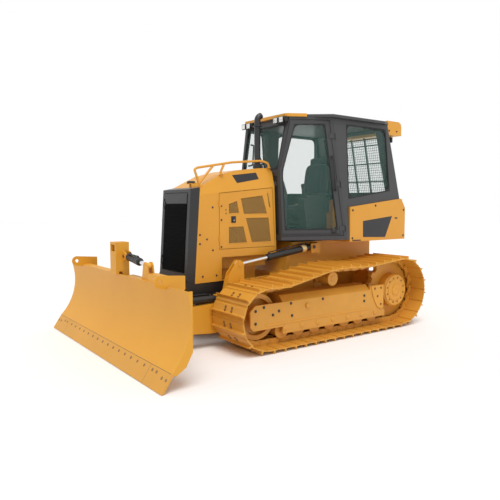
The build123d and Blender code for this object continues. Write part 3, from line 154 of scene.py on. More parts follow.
def paint(name, colour, shade, roughness, peel, coat=0.0, dust=0.0, dust_colour=(0.45, 0.36, 0.24),
          worn=0.0, worn_colour=(0.3, 0.2, 0.1)):
    """Sprayed paint: broad drifts of tone, a fine orange peel, thin dust low down and small worn spots."""
    b = material_board(name)
    fine = b.noise(38.0)
    tone = b.clouds(b.noise(1.7, 4.0), 1.6, 0.35, colour, shade)
    tone = b.mix(b.clamp((fine - 0.5) * 0.5), tone, (*shade, 1))
    rough = roughness + (fine - 0.5) * 0.12
    if dust:
        low = b.clamp(1.0 - b.axis(2) * 1.15)
        cloud = b.clamp(b.noise(9.0, 6.0, roughness=0.65) * 2.2 - 0.75)
        share = low * cloud * dust
        tone = b.mix(share, tone, (*dust_colour, 1))
        rough = rough + share * 0.4
    if worn:
        spots = b.clamp((b.noise(60.0, 5.0, roughness=0.7) - (0.73 - worn * 0.1)) * 16.0)
        tone = b.mix(spots * worn, tone, (*worn_colour, 1))
        rough = rough + spots * 0.15
    return b.finish(tone, rough, 0.0, b.noise(260.0, 2.0), peel, 0.0006, Coat_Weight=coat,
                    Coat_Roughness=0.12)


def deep_black(name):
    """Black sheet in shade: next to no gloss, and a light dust in slow clouds."""
    b = material_board(name)
    cloud = b.noise(14.0, 5.0)
    tone = b.clouds(cloud, 2.0, 0.8, (0.0025, 0.0025, 0.0025), (0.006, 0.0058, 0.0055))
    return b.finish(tone, 0.75 + (cloud - 0.5) * 0.2, 0.0, cloud, 0.1, 0.0005, Specular_IOR_Level=0.08)


def ground_metal(name, colour, roughness):
    """Ground metal: fine streaks across, and a faint film of oil."""
    b = material_board(name)
    lines = b.streaks()
    tone = b.clouds(b.noise(6.0), 1.4, 0.4, colour, darker(colour, 0.86))
    return b.finish(tone, roughness + (lines - 0.5) * 0.05, 1.0, lines, 0.04, 0.0002)


def soft_plastic(name, colour, roughness=0.6, grain=420.0):
    """Moulded plastic or rubber with a pebbled grain."""
    b = material_board(name)
    pebbles = b.node("ShaderNodeTexVoronoi", {}, {"Vector": b.place(), "Scale": grain})
    cloud = b.noise(5.0)
    tone = b.clouds(cloud, 1.5, 0.4, colour, tuple(c * 0.8 + 0.002 for c in colour))
    return b.finish(tone, roughness + (cloud - 0.5) * 0.1, 0.0, pebbles, 0.25, 0.0005)


def glass(name, colour, alpha):
    """Tinted sheet glass: see-through, faintly smeared, with a bright gloss."""
    b = material_board(name)
    smear = b.noise(3.5, 4.0)
    tone = b.clouds(smear, 1.2, 0.3, colour, darker(colour, 0.9))
    return b.finish(tone, 0.02 + smear * 0.02, 0.0, Alpha=alpha, IOR=1.5, Specular_IOR_Level=0.5)


def cloth(name, colour):
    """Woven seat cloth: two crossed waves of thread under a slow drift of tone."""
    b = material_board(name)
    threads = {"Scale": 220.0, "Distortion": 0.6}
    weave = b.bands("Y", **threads) * 0.5 + b.bands("X", **threads) * 0.5
    tone = b.mix(b.clamp(weave), (*darker(colour, 0.6), 1), (*colour, 1))
    return b.finish(tone, 0.85 + (weave - 0.5) * 0.1, 0.0, weave, 0.4, 0.0006, Sheen_Weight=0.3)


def reflector(name):
    """A lamp's bright reflector: ribbed and mirror-like."""
    b = material_board(name)
    ribs = b.bands("Y", Scale=60.0)
    tone = b.mix(ribs, (0.8, 0.8, 0.78, 1), (0.95, 0.95, 0.93, 1))
    return b.finish(tone, 0.12 + ribs * 0.1, 1.0, ribs, 0.3, 0.002)


def perforated(name, colour, pitch, hole):
    """Painted sheet with round holes in two square grids half a pitch apart: a hole is where the distance
    to the nearer grid's point is under its radius. The holes are not cut: each is painted near-black,
    as painted shade of the dark space behind the sheet."""
    b = material_board(name)
    place = b.place()
    across, up = b.axis(0, place) * (1 / pitch), b.axis(2, place) * (1 / pitch)

    def from_grid(shift):
        u, v = (b.math("FRACT", way + shift) - 0.5 for way in (across, up))
        return b.math("SQRT", u * u + v * v)

    near = b.math("MINIMUM", from_grid(0.0), from_grid(0.5))
    inside = b.clamp((hole / pitch - near) * 14.0 + 0.5)
    tone = b.clouds(b.noise(3.0), 1.4, 0.4, colour, darker(colour, 0.9))
    # Painted shade: the holes are painted near-black where the dark space behind would show through.
    tone = b.mix(inside, tone, (0.006, 0.006, 0.007, 1))
    return b.finish(tone, 0.45 + inside * 0.4, 0.0, 1.0 - inside, 0.6, 0.002)


def rod_finish(name, axis, limit, colour, shade):
    """A chromed rod whose eye, past a limit along one axis, is painted casting."""
    b = material_board(name)
    streaks, grain = b.streaks(), b.noise(90.0)
    eye = b.axis(axis) > limit
    chrome = b.clouds(b.noise(6.0), 1.4, 0.4, (0.80, 0.80, 0.82), (0.69, 0.69, 0.71))
    cast = b.clouds(grain, 1.5, 0.4, colour, shade)
    rough = (0.11 + streaks * 0.05) * (1.0 - eye) + eye * (0.42 + grain * 0.1)
    height = streaks * 0.1 * (1.0 - eye) + grain * eye
    return b.finish(b.mix(eye, chrome, cast), rough, 1.0 - eye, height, 0.12, 0.0005)


CAST_CREAM = ((0.78, 0.56, 0.26), (0.70, 0.48, 0.20))
CAST_YELLOW = ((0.83, 0.43, 0.065), (0.76, 0.375, 0.05))
YELLOW = paint("yellow_paint", (0.77, 0.355, 0.032), (0.70, 0.31, 0.026), 0.42, 0.05, dust=0.05)
BLADE_PAINT = paint("blade_paint", (0.75, 0.35, 0.022), (0.69, 0.31, 0.018), 0.5, 0.05, dust=0.05,
                    worn=0.1, worn_colour=(0.5, 0.3, 0.1))
TRACK_PAINT = paint("track_paint", (0.74, 0.345, 0.036), (0.62, 0.275, 0.028), 0.45, 0.12, 0.03, 0.18,
                    (0.30, 0.20, 0.10), 0.35, (0.30, 0.19, 0.09))
EDGE_PAINT = paint("edge_paint", (0.70, 0.33, 0.032), (0.62, 0.29, 0.028), 0.5, 0.08, dust=0.12,
                   worn=0.3, worn_colour=(0.4, 0.26, 0.12))
CAB_GREY = paint("cab_grey", (0.050, 0.050, 0.053), (0.040, 0.040, 0.043), 0.46, 0.08, 0.05, 0.05,
                 (0.12, 0.11, 0.10))
BLACK = paint("black_paint", (0.011, 0.011, 0.012), (0.016, 0.016, 0.017), 0.42, 0.08, 0.1, 0.1,
              (0.06, 0.055, 0.05))
LOUVRE_BLACK = deep_black("louvre_black")
CREAM = paint("cast_cream", *CAST_CREAM, 0.45, 0.15, dust=0.05)
BOLT = paint("bolt_black", (0.03, 0.026, 0.022), (0.05, 0.042, 0.034), 0.4, 0.1)
WORN_BOLT = paint("worn_bolt", (0.30, 0.145, 0.03), (0.16, 0.085, 0.03), 0.5, 0.1, dust=0.2)
STEEL = ground_metal("bright_steel", (0.55, 0.54, 0.52), 0.32)
TRIM = soft_plastic("trim_plastic", (0.035, 0.036, 0.038))
RUBBER = soft_plastic("seal_rubber", (0.012, 0.012, 0.013), 0.7, 300.0)
GRIP = soft_plastic("grip_black", (0.010, 0.010, 0.011), 0.5, 500.0)
PANEL_GREY = soft_plastic("panel_grey", (0.09, 0.092, 0.096), 0.55)
TINT = glass("cab_tint", (0.20, 0.42, 0.36), 0.085)
LENS = glass("lamp_lens", (0.85, 0.88, 0.88), 0.25)
SEAT_CLOTH = cloth("seat_cloth", (0.045, 0.046, 0.05))
REFLECTOR = reflector("lamp_reflector")
HOOD_MESH = perforated("hood_mesh", (0.70, 0.36, 0.055), 0.0135, 0.0042)

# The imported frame's slot that stands for each finish; yellow paint for the rest
SLOT_OF = {
    BLACK: "black_paint", LOUVRE_BLACK: "black_paint", CAB_GREY: "cab_paint", TRIM: "trim_plastic",
    RUBBER: "trim_plastic", GRIP: "trim_plastic", PANEL_GREY: "trim_plastic", STEEL: "rod_chrome",
    REFLECTOR: "rod_chrome", LENS: "cab_tint", SEAT_CLOTH: "seat_vinyl",
}


# Surfaces as arrays: a part is its points and faces

def unit(vectors):
    vectors = np.asarray(vectors, float)
    return vectors / np.linalg.norm(vectors, axis=-1, keepdims=True)


def at(ahead, y, z):
    """A place from millimetres ahead of the sprocket axle, out from the centre line, and up."""
    return np.array((AXLE_X + ahead / 1000, y / 1000, z / 1000))


def metres(points):
    return [(a / 1000, b / 1000) for a, b in points]


def rectangle(left, low, right, high):
    return (left, low), (right, low), (right, high), (left, high)


def turns_left(outline):
    """Whether a closed outline runs anticlockwise, by the sign of its area."""
    x, y = np.asarray(outline, float).T
    return np.sum(x * np.roll(y, -1) - np.roll(x, -1) * y) > 0


def anticlockwise(outline):
    return np.asarray(outline, float)[::1 if turns_left(outline) else -1]


def whole(part):
    """A part, or a list of parts as one."""
    if not isinstance(part, list):
        return part
    faces, count = [], 0
    for p, f in part:
        faces.extend(tuple(int(i) + count for i in face) for face in f)
        count += len(p)
    return np.vstack([p for p, _ in part]), faces


def moved(part, shift):
    return part[0] + shift, part[1]


def mirrored(part):
    """The part on the other side of the centre line, its faces turned back to point outwards."""
    points, faces = whole(part)
    return points * (1, -1, 1), [tuple(f)[::-1] for f in faces]


def in_scene(name, data):
    made = bpy.data.objects.new(name, data)
    bpy.context.scene.collection.objects.link(made)
    return made


def mesh_piece(name, part, material, body="root", slot=None, smooth=True, sharp=35.0):
    """A piece made of a part or a list of parts, riding on a body."""
    points, faces = whole(part)
    slot = slot or SLOT_OF.get(material, "yellow_paint")
    mesh = bpy.data.meshes.new(name)
    mesh.from_pydata(points.tolist(), [], [list(map(int, face)) for face in faces])
    mesh.materials.append(material)
    piece = in_scene(name, mesh)
    if smooth:
        mesh.polygons.foreach_set("use_smooth", np.ones(len(mesh.polygons), bool))
        mesh.set_sharp_from_angle(angle=radians(sharp))
    mesh.update()
    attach(piece, body)
    return piece


def both_sides(name, part, material, body="root", slot=None, node=None, **more):
    """A piece for the left and its mirror image for the right: on its own side's body, and in the place of
    its own side's solid, where there is one."""
    for side, form in zip(SIDES, (whole(part), mirrored(part))):
        piece = mesh_piece(f"{name}_{side}", form, material, body.replace("SIDE", side), slot, **more)
        if node:
            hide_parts(node.replace("SIDE", side))


def grid_faces(rows, columns, wrap_rows=False):
    """Four-sided faces between rows of points that each close on themselves."""
    i, j = np.meshgrid(np.arange(rows if wrap_rows else rows - 1), np.arange(columns), indexing="ij")
    row, after, beside = i * columns, (i + 1) % rows * columns, (j + 1) % columns
    corners = np.stack([row + j, row + beside, after + beside, after + j], -1)
    return [tuple(f) for f in corners.reshape(-1, 4)]


def closed_rows(points, low=True, high=True):
    """The surface through rows of points that close on themselves, with a face on its first and last."""
    rows, columns = points.shape[:2]
    faces = grid_faces(rows, columns)
    if low:
        faces.append(tuple(range(columns))[::-1])
    if high:
        faces.append(tuple(range((rows - 1) * columns, rows * columns)))
    return points.reshape(-1, 3), faces


def along_path(path, profile, up):
    """Rows of points path + side * u + lift * v, with side and lift square to the path's own slope."""
    ahead = unit(np.gradient(path, axis=0))
    side = unit(np.cross(np.broadcast_to(up, ahead.shape), ahead))
    lift = np.cross(ahead, side)
    return path[:, None] + side[:, None] * profile[None, :, :1] + lift[:, None] * profile[None, :, 1:]


def carried(path, profile, up=UP, caps=True):
    """A profile of (side, up) offsets carried along a path."""
    return closed_rows(along_path(np.asarray(path, float), np.asarray(profile, float), up), caps, caps)


def looped(path, profile, up):
    """A profile carried round a closed path."""
    rows = along_path(np.vstack([path[-1:], path, path[:1]]), profile, up)[1:-1]
    return rows.reshape(-1, 3), grid_faces(*rows.shape[:2], wrap_rows=True)


def ring(radius, steps):
    """A circle's points as (side, up) offsets."""
    turn = np.arange(steps) * 2 * pi / steps
    return np.stack([np.cos(turn), np.sin(turn)], 1) * radius


def tube(path, radius, steps):
    """A round bar, its profile turned from the direction in which its path spreads least."""
    path = np.asarray(path, float)
    least = np.linalg.svd(path - path.mean(0))[2][-1]
    return carried(path, ring(radius, steps), least)


def smooth_path(points, per_leg):
    """A curve through points, each leg a cubic whose slopes are half the step between its neighbours."""
    p = np.asarray(points, float)
    p = np.vstack([2 * p[0] - p[1], p, 2 * p[-1] - p[-2]])
    t = np.linspace(0, 1, per_leg, endpoint=False)[None, :, None]
    a, b, c, d = p[:-3, None], p[1:-2, None], p[2:-1, None], p[3:, None]
    curve = 0.5 * (2 * b + (c - a) * t + (2 * a - 5 * b + 4 * c - d) * t ** 2
                   + (3 * b - a - 3 * c + d) * t ** 3)
    return np.vstack([curve.reshape(-1, 3), p[-2]])


def rounded_path(points, radius, steps=6):
    """Straight runs with their corners turned: each corner's points blend its two runs quadratically."""
    p = [np.asarray(q, float) for q in points]
    t = np.linspace(0, 1, steps)[:, None]
    out = [p[0]]
    for a, b, c in zip(p, p[1:], p[2:]):
        reach = min(radius, 0.45 * np.linalg.norm(b - a), 0.45 * np.linalg.norm(c - b))
        start, end = b + unit(a - b) * reach, b + unit(c - b) * reach
        out.extend(start * (1 - t) ** 2 + 2 * b * t * (1 - t) + end * t ** 2)
    out.append(p[-1])
    return np.array(out)


def square_axes(along):
    """Two directions square to a given one and to each other."""
    along = unit(along)
    u = unit(np.cross(UP if abs(along[2]) < 0.9 else AHEAD, along))
    return u, np.cross(along, u), along


def turned(profile, centre, along, steps=32):
    """A profile of (radius, height) turned about an axis: centre + radius (u cos t + v sin t)
    + along * height."""
    u, v, along = square_axes(along)
    profile = np.asarray(profile, float)
    turn = np.arange(steps) * 2 * pi / steps
    round_way = u[None] * np.cos(turn)[:, None] + v[None] * np.sin(turn)[:, None]
    return closed_rows(np.asarray(centre, float) + profile[:, None, :1] * round_way[None]
                       + profile[:, None, 1:] * along[None, None])


def rounded_block(low, high, radius):
    """A box with rounded edges: a ball's directions times the radius, moved out to the nearest corner."""
    low, high = np.asarray(low, float), np.asarray(high, float)
    half = (high - low) / 2
    radius = min(radius, *(half * 0.98))
    quarter = (np.arange(3) + 0.5) / 3 * pi / 2
    turn = (quarter[None] + np.arange(4)[:, None] * pi / 2).ravel()
    tilt = np.concatenate([quarter - pi / 2, quarter])
    way = np.stack([np.cos(tilt)[:, None] * np.cos(turn)[None], np.cos(tilt)[:, None] * np.sin(turn)[None],
                    np.repeat(np.sin(tilt)[:, None], len(turn), 1)], -1)
    return closed_rows((low + high) / 2 + np.sign(way) * (half - radius) + way * radius)


def inset_outline(outline, amount):
    """A closed outline moved in by an amount, each corner along the line that halves it."""
    p = np.asarray(outline, float)
    before, after = unit(p - np.roll(p, 1, 0)), unit(np.roll(p, -1, 0) - p)
    n1 = np.stack([-before[:, 1], before[:, 0]], 1)
    n2 = np.stack([-after[:, 1], after[:, 0]], 1)
    way = (n1 + n2) / np.maximum(1 + (n1 * n2).sum(1, keepdims=True), 0.3)
    return p + way * amount * (1 if turns_left(p) else -1)


def round_corners(outline, radius, steps=6):
    """A closed outline with each corner turned on a quadratic blend of its two sides."""
    p = np.asarray(outline, float)
    to_before, to_after = np.roll(p, 1, 0) - p, np.roll(p, -1, 0) - p
    shorter = np.minimum(np.linalg.norm(to_before, axis=1, keepdims=True),
                         np.linalg.norm(to_after, axis=1, keepdims=True))
    reach = np.minimum(radius, 0.45 * shorter)
    start, end = p + unit(to_before) * reach, p + unit(to_after) * reach
    t = np.linspace(0, 1, steps)[None, :, None]
    corners = start[:, None] * (1 - t) ** 2 + 2 * p[:, None] * t * (1 - t) + end[:, None] * t ** 2
    return corners.reshape(-1, 2)


def plate(outline, origin, u, v, thickness, edge=0.002):
    """A flat plate: an outline drawn on two directions, as four rings that round off its two rims."""
    p = anticlockwise(outline)
    u, v = unit(u), unit(v)
    out = np.cross(u, v)
    small = inset_outline(p, edge)
    rows = (small, 0), (p, edge), (p, thickness - edge), (small, thickness)
    return closed_rows(np.array([origin + q[:, :1] * u + q[:, 1:] * v + out * h for q, h in rows]))


def side_plate(points, out, thickness, edge=0.002):
    """A plate upright along the machine's left, its inner face a distance out in millimetres."""
    return plate(metres(points), at(0, out + thickness * 1000, 0), AHEAD, UP, thickness, edge)


def bolt_head(radius, height):
    """A six-sided head on a round washer, along z."""
    turn = np.arange(12) * pi / 6
    rim = np.where(np.arange(12) % 2 == 0, radius, radius * 0.92)
    rows = (radius * 1.35, 0), (radius * 1.35, 0.22), (rim, 0.22), (rim, 0.86), (rim * 0.82, 1)
    points = [np.stack([np.cos(turn) * r, np.sin(turn) * r, np.full(12, height * share)], 1)
              for r, share in rows]
    return closed_rows(np.array(points))


def copies(part, places, way):
    """A small part at many places, its z along a way."""
    points, faces = part
    u, v, w = square_axes(way)
    return [(place + points[:, :1] * u + points[:, 1:2] * v + points[:, 2:] * w, faces) for place in places]


def flank_bolts(name, spots, out, radius, height, material=BOLT, body="root"):
    """Bolt heads on both flanks, at millimetres ahead and up."""
    places = [at(x, out, z) for x, z in spots]
    both_sides(name, copies(bolt_head(radius, height), places, LEFT), material, body)


class Sheet:
    """A flat place on the machine: millimetres across and up it, and out from it, turned into metres."""

    def __init__(self, origin, across, up):
        self.origin = at(*origin)
        self.across, self.up = unit(across), unit(up)
        self.out = np.cross(self.across, self.up)

    def __call__(self, points, out=0.0):
        p = np.asarray(points, float).reshape(-1, 2) / 1000
        return self.origin + p[:, :1] * self.across + p[:, 1:] * self.up + self.out * (out / 1000)

    def spot(self, place, out=0.0):
        return self(place, out)[0]

    def hand_rail(self, low, high, rise, foot=0.0):
        """A bar's corners: out from one place, along to another, and back."""
        return [self.spot(low, foot), self.spot(low, rise), self.spot(high, rise), self.spot(high, foot)]

    def rings(self, rows, low=False, high=False):
        """A surface through like outlines, each at its own height out."""
        return closed_rows(np.array([self(anticlockwise(q), out) for q, out in rows]), low, high)

    def trim(self, outline, width, height, radius, lap=5.0, depth=14.0):
        """A window's rubber: from a lap over the frame, up, across to a rounded inner edge, and down to the
        glass."""
        outer = round_corners(inset_outline(anticlockwise(outline), -lap), 6.0)
        inner = round_corners(inset_outline(anticlockwise(outline), width), radius)
        slope = (inner - outer) * 0.12
        return self.rings([(outer, 0.0), (outer + slope, height), (inner - slope, height),
                           (inner, height * 0.4), (inner, -depth)])

    def slab(self, outline, low, high, edge=1.5):
        """A plate on the sheet between two heights, its rims rounded off."""
        p = anticlockwise(outline)
        small = inset_outline(p, edge)
        return self.rings([(small, low), (p, low + edge), (p, high - edge), (small, high)], True, True)


def cross_sheet(low, high, across=LEFT):
    """A sheet across the machine, between two corners of its side outline."""
    return Sheet((low[0], 0, low[1]), across, (high[0] - low[0], 0, high[1] - low[1]))


# Tracks: the pins run round the sprocket, over the carrier roller and round the idler

SPROCKET_Z = 0.480
IDLER_Z = 0.385
WHEELBASE = 2.296
TRACK_Y = 0.8375
SHOE_HALF = 0.305
PIN_DEPTH = 0.032            # shoe's inner face out from the pins' line
SHOE_PLATE = 0.014
SHOE_HEIGHT = 0.050
SHOE_TIP = 0.0499            # its grouser's crest, a hair inside the solid's
SPROCKET_PIN_R = SPROCKET_Z - SHOE_HEIGHT - PIN_DEPTH
IDLER_PIN_R = IDLER_Z - SHOE_HEIGHT - PIN_DEPTH
TEETH = 16
TOP_RUN = np.array(((0.650, 0.850), (1.150, 0.862), (1.340, 0.846), (2.040, 0.706)))
STRAND_IN = 0.0525           # links' inner face from the track's centre line
LINK_PLATE = 0.020
LINK_EYE_R = 0.0278


def touch_angle(centre, radius, point, turn):
    """Angle on a circle where a line from an outside point touches it: the point's own angle, plus or minus
    the angle whose cosine is the radius over the distance."""
    dx, dz = point[0] - centre[0], point[1] - centre[1]
    return np.arctan2(dz, dx) + turn * np.arccos(radius / np.hypot(dx, dz))


def arc(centre, radius, start, end):
    turn = np.linspace(start, end, 49)
    return np.stack([centre[0] + radius * np.cos(turn), centre[1] + radius * np.sin(turn)], 1)


def chain():
    """Pins evenly spaced along the closed path, each link's directions along and out, and the pitch."""
    run = TOP_RUN - (0, PIN_DEPTH)
    rear, front = (0.0, SPROCKET_Z), (WHEELBASE, IDLER_Z)
    leave = touch_angle(rear, SPROCKET_PIN_R, run[0], 1)
    meet = touch_angle(front, IDLER_PIN_R, run[-1], -1)
    path = np.vstack([arc(rear, SPROCKET_PIN_R, pi, leave), run, arc(front, IDLER_PIN_R, meet, -pi / 2),
                      arc(rear, SPROCKET_PIN_R, 3 * pi / 2, pi)])
    reached = np.concatenate([[0], np.cumsum(np.linalg.norm(np.diff(path, axis=0), axis=1))])
    shoes = round(reached[-1] / (2 * pi * SPROCKET_PIN_R / TEETH))
    goals = reached[-1] * np.arange(shoes) / shoes
    pins = np.stack([np.interp(goals, reached, path[:, 0]), np.interp(goals, reached, path[:, 1])], 1)
    along = unit(np.roll(pins, -1, 0) - pins)
    return pins, along, np.stack([-along[:, 1], along[:, 0]], 1), reached[-1] / shoes


PINS, ALONG, OUT, PITCH = chain()


def round_the_chain(part):
    """A small part (x along the link, y across, z out from the pins) at every link of the left track."""
    points, faces = whole(part)
    flat = PINS[:, None] + ALONG[:, None] * points[None, :, :1] + OUT[:, None] * points[None, :, 2:]
    across = TRACK_Y + np.broadcast_to(points[:, 1], flat.shape[:2])
    placed = np.stack([AXLE_X + flat[..., 0], across, flat[..., 1]], -1)
    lots = [tuple(i + k * len(points) for i in face) for k in range(len(PINS)) for face in faces]
    return placed.reshape(-1, 3), lots


# Shoe's outline: share of the pitch, height over the shoe's inner face
SHOE_OUTLINE = ((-0.10, -0.004), (-0.108, 0.0), (-0.10, 0.004), (0.04, 0.0045), (0.075, 0.0125),
                (0.10, SHOE_PLATE), (0.565, SHOE_PLATE), (0.602, 0.018), (0.622, 0.026), (0.636, 0.046),
                (0.650, SHOE_TIP), (0.700, SHOE_TIP), (0.714, 0.046), (0.728, 0.026), (0.748, 0.018),
                (0.785, SHOE_PLATE), (0.99, 0.0148), (1.018, 0.012), (1.018, 0.008), (0.99, 0.0062),
                (0.87, 0.0055), (0.84, 0.0), (0.09, 0.0), (0.045, -0.004))
shoe = plate(np.array(SHOE_OUTLINE) * (PITCH, 1) + (0, PIN_DEPTH), (0, SHOE_HALF, 0), AHEAD, UP,
             2 * SHOE_HALF, 0.0015)
both_sides("track_shoes", round_the_chain(shoe), TRACK_PAINT, slot="track_steel", node="track_SIDE",
           sharp=40)


def link_side():
    """One link's side bar: stations along it, half height a circle round each pin, stepping out by its own
    thickness between them."""
    share = np.array((-0.176, -0.165, -0.13, -0.07, 0.0, 0.12, 0.3, 0.45, 0.6, 0.88, 1.0, 1.07, 1.13, 1.165,
                      1.176))
    beyond = np.maximum(np.maximum(-share, share - 1), 0) * PITCH
    round_end = np.sqrt(np.maximum(LINK_EYE_R ** 2 - beyond ** 2, 0.003 ** 2))
    pad = np.where((share > 0.1) & (share < 0.9), PIN_DEPTH - 0.0005, round_end)
    step = np.clip((share - 0.3) / 0.3, 0, 1)
    inner = STRAND_IN + LINK_PLATE * step * step * (3 - 2 * step)
    outer = inner + LINK_PLATE - 0.001
    corners = (inner, -round_end), (outer, -round_end), (outer, pad), (inner, pad)
    return closed_rows(np.stack([np.stack([share * PITCH, y, z], 1) for y, z in corners], 1))


BUSHING = ((0.0155, -0.052), (0.0225, -0.052), (0.0225, 0.052), (0.0155, 0.052))
PIN_END = ((0.012, 0.0915), (0.015, 0.092), (0.015, 0.094), (0.012, 0.0955))
bushing, pin_end = turned(BUSHING, (0, 0, 0), LEFT, 16), turned(PIN_END, (0, 0, 0), LEFT, 14)
links = [link_side(), mirrored(link_side()), bushing, pin_end, mirrored(pin_end)]
both_sides("track_links", round_the_chain(links), TRACK_PAINT, slot="track_steel", sharp=30)
shoe_bolts = [moved(bolt_head(0.0115, 0.012), (share * PITCH, hand * 0.062, PIN_DEPTH + SHOE_PLATE))
              for share in (0.25, 0.48) for hand in HANDS]
both_sides("shoe_bolts", round_the_chain(shoe_bolts), WORN_BOLT, slot="track_steel", sharp=30)


# Wheels and rollers

def wheel(profile, ahead, height, steps):
    """A profile of (radius, out from the track's centre line) in millimetres, turned about an axle."""
    return turned(np.array(profile, float) / 1000, (AXLE_X + ahead / 1000, TRACK_Y, height), LEFT, steps)


def both_ways(profile):
    """Half a wheel's profile with its mirror image."""
    return profile + tuple((radius, -out) for radius, out in profile[::-1])


IDLER_PROFILE = both_ways(((44, -148), (44, -88), (90, -86), (92, -34), (96, -30), (198, -30), (204, -36),
                           (206, -84), (210, -88), (259, -88), (263, -84), (263, -46), (268, -42),
                           (274, -38)))
ROLLER_PROFILE = both_ways(((23, -148), (23, -120), (60, -119), (94, -118), (98, -114), (98, -101),
                            (95, -97), (84, -94), (83, -60), (84, -20)))
CARRIER_PROFILE = ((23, -149), (23, -120), (50, -119), (82, -118), (86, -114), (86, -101), (83, -97),
                   (72, -94), (72, 94), (83, 97), (86, 101), (86, 114), (82, 118), (50, 119), (34, 121),
                   (32, 125))
HUB_RINGS = ((205, 148), (206, 156.5), (196, 159), (186, 158), (182, 153.5), (152, 153.2), (148, 160),
             (138, 163), (112, 163.5), (104, 158), (74, 157), (70, 166), (62, 169), (26, 169.5), (22, 165),
             (6, 165))
ROLLER_CAP = ((30, 173), (30, 178), (22, 181), (8, 181.5))
ROLLER_STATIONS = [432 + 255 * i for i in range(7)]
ROLLER_Z, ROLLER_CAP_Z = 0.1943, 0.232
CARRIER_STATION, CARRIER_Z = 1150, 0.722
HUB_BOLT_R = 0.167
both_sides("idler_wheel", wheel(IDLER_PROFILE, WHEELBASE * 1000, IDLER_Z, 72), TRACK_PAINT, node="idlers")
both_sides("roller_row", [wheel(ROLLER_PROFILE, x, ROLLER_Z, 40) for x in ROLLER_STATIONS], TRACK_PAINT,
           node="track_rollers")
both_sides("carrier_wheel", wheel(CARRIER_PROFILE, CARRIER_STATION, CARRIER_Z, 48), TRACK_PAINT,
           node="carrier_rollers")
both_sides("hub_cover", wheel(HUB_RINGS, 0, SPROCKET_Z, 72), YELLOW, sharp=28)
hub_turns = (np.arange(12) + 0.5) * pi / 6
hub_places = [(AXLE_X + HUB_BOLT_R * cos(turn), TRACK_Y + 0.1532, SPROCKET_Z + HUB_BOLT_R * sin(turn))
              for turn in hub_turns]
both_sides("hub_bolts", copies(bolt_head(0.009, 0.008), hub_places, LEFT), WORN_BOLT)


# Track frames: bolts, roller caps, guard strip, rear bracket and the tensioner's cover

FRAME_FACE = 1010.5          # track frame's outer plate, millimetres from the centre line
FRAME_BOLTS = ((2265, 500), (1874, 505), (1371, 505), (2137, 402), (2051, 437), (1857, 362), (640, 470),
               (640, 400), (2380, 470), (2380, 330))
REAR_BRACKET = ((279, 583), (500, 583), (515, 560), (470, 420), (400, 300), (330, 266), (279, 275))
TENSIONER = ((0.022, 0.0), (0.030, 0.003), (0.030, 0.016), (0.020, 0.020), (0.006, 0.021))
flank_bolts("frame_bolts", FRAME_BOLTS, FRAME_FACE, 0.013, 0.011)
both_sides("roller_caps", [wheel(ROLLER_CAP, x, ROLLER_CAP_Z, 24) for x in ROLLER_STATIONS], TRACK_PAINT,
           sharp=28)
both_sides("frame_guard_strip", side_plate(rectangle(560, 285, 2245, 300), FRAME_FACE, 0.006), YELLOW)
both_sides("frame_bracket", side_plate(REAR_BRACKET, FRAME_FACE, 0.012), YELLOW)
flank_bolts("bracket_bolts", ((330, 545), (450, 545), (330, 330), (395, 440)), FRAME_FACE + 12, 0.012,
            0.010, WORN_BOLT)
both_sides("tensioner_cover", turned(TENSIONER, at(1620, FRAME_FACE, 452), LEFT, 24), TRACK_PAINT)


# Engine doors and hood: perforated openings with raised rims, bolts, latch and blank plate

HOOD_FACE = 335.0
ENGINE_DOOR = "engine_door_SIDE"
DOOR_GRILLES = (((2271, 1640), (2155, 1676), (2126, 1532), (2271, 1527)),
                ((2097, 1706), (1770, 1745), (1699, 1522), (2053, 1519)),
                ((2272, 1367), (2060, 1368), (2008, 1171), (2273, 1170)),
                ((2023, 1470), (1675, 1472), (1632, 1171), (1932, 1170)),
                ((1700, 1775), (1684, 1777), (1642, 1600), (1664, 1596)))
RIM_WIDTH, RIM_HEIGHT = 9.0, 2.2
NOSE_BOLTS = ((2673, 1285), (2674, 1181), (2579, 1230), (2500, 1600), (2500, 1100), (2640, 800),
              (2450, 800))
HOOD_LEAN = radians(12.5)
CREASE = ((2439, 1767.0), (1572, 1854.0))
BLANK_PLATE = ((2140, 1890), (1810, 1947), (1841, 2026), (2198, 1983))


def rim(corners):
    """A raised frame round an opening: four rings of its outline, each moved out by more of its width."""
    rings = [(inset_outline(corners, -RIM_WIDTH * share), RIM_HEIGHT * rise)
             for share, rise in ((0, 0), (0.25, 1), (0.75, 1), (1, 0))]
    rows = np.array([[at(x, HOOD_FACE + rise, z) for x, z in outline] for outline, rise in rings])
    points, faces = closed_rows(rows, False, False)
    return points, faces if turns_left(corners) else [f[::-1] for f in faces]


def on_shoulder(points, off):
    """Places on the hood's shoulder, which leans in above the crease by the lean's tangent."""
    (x0, z0), (x1, z1) = CREASE
    out = []
    for x, z in points:
        rise = z - (z1 + (x - x1) / (x0 - x1) * (z0 - z1))
        y = HOOD_FACE - rise * tan(HOOD_LEAN) + off * cos(HOOD_LEAN)
        out.append(at(x, y, z + off * sin(HOOD_LEAN)))
    return out


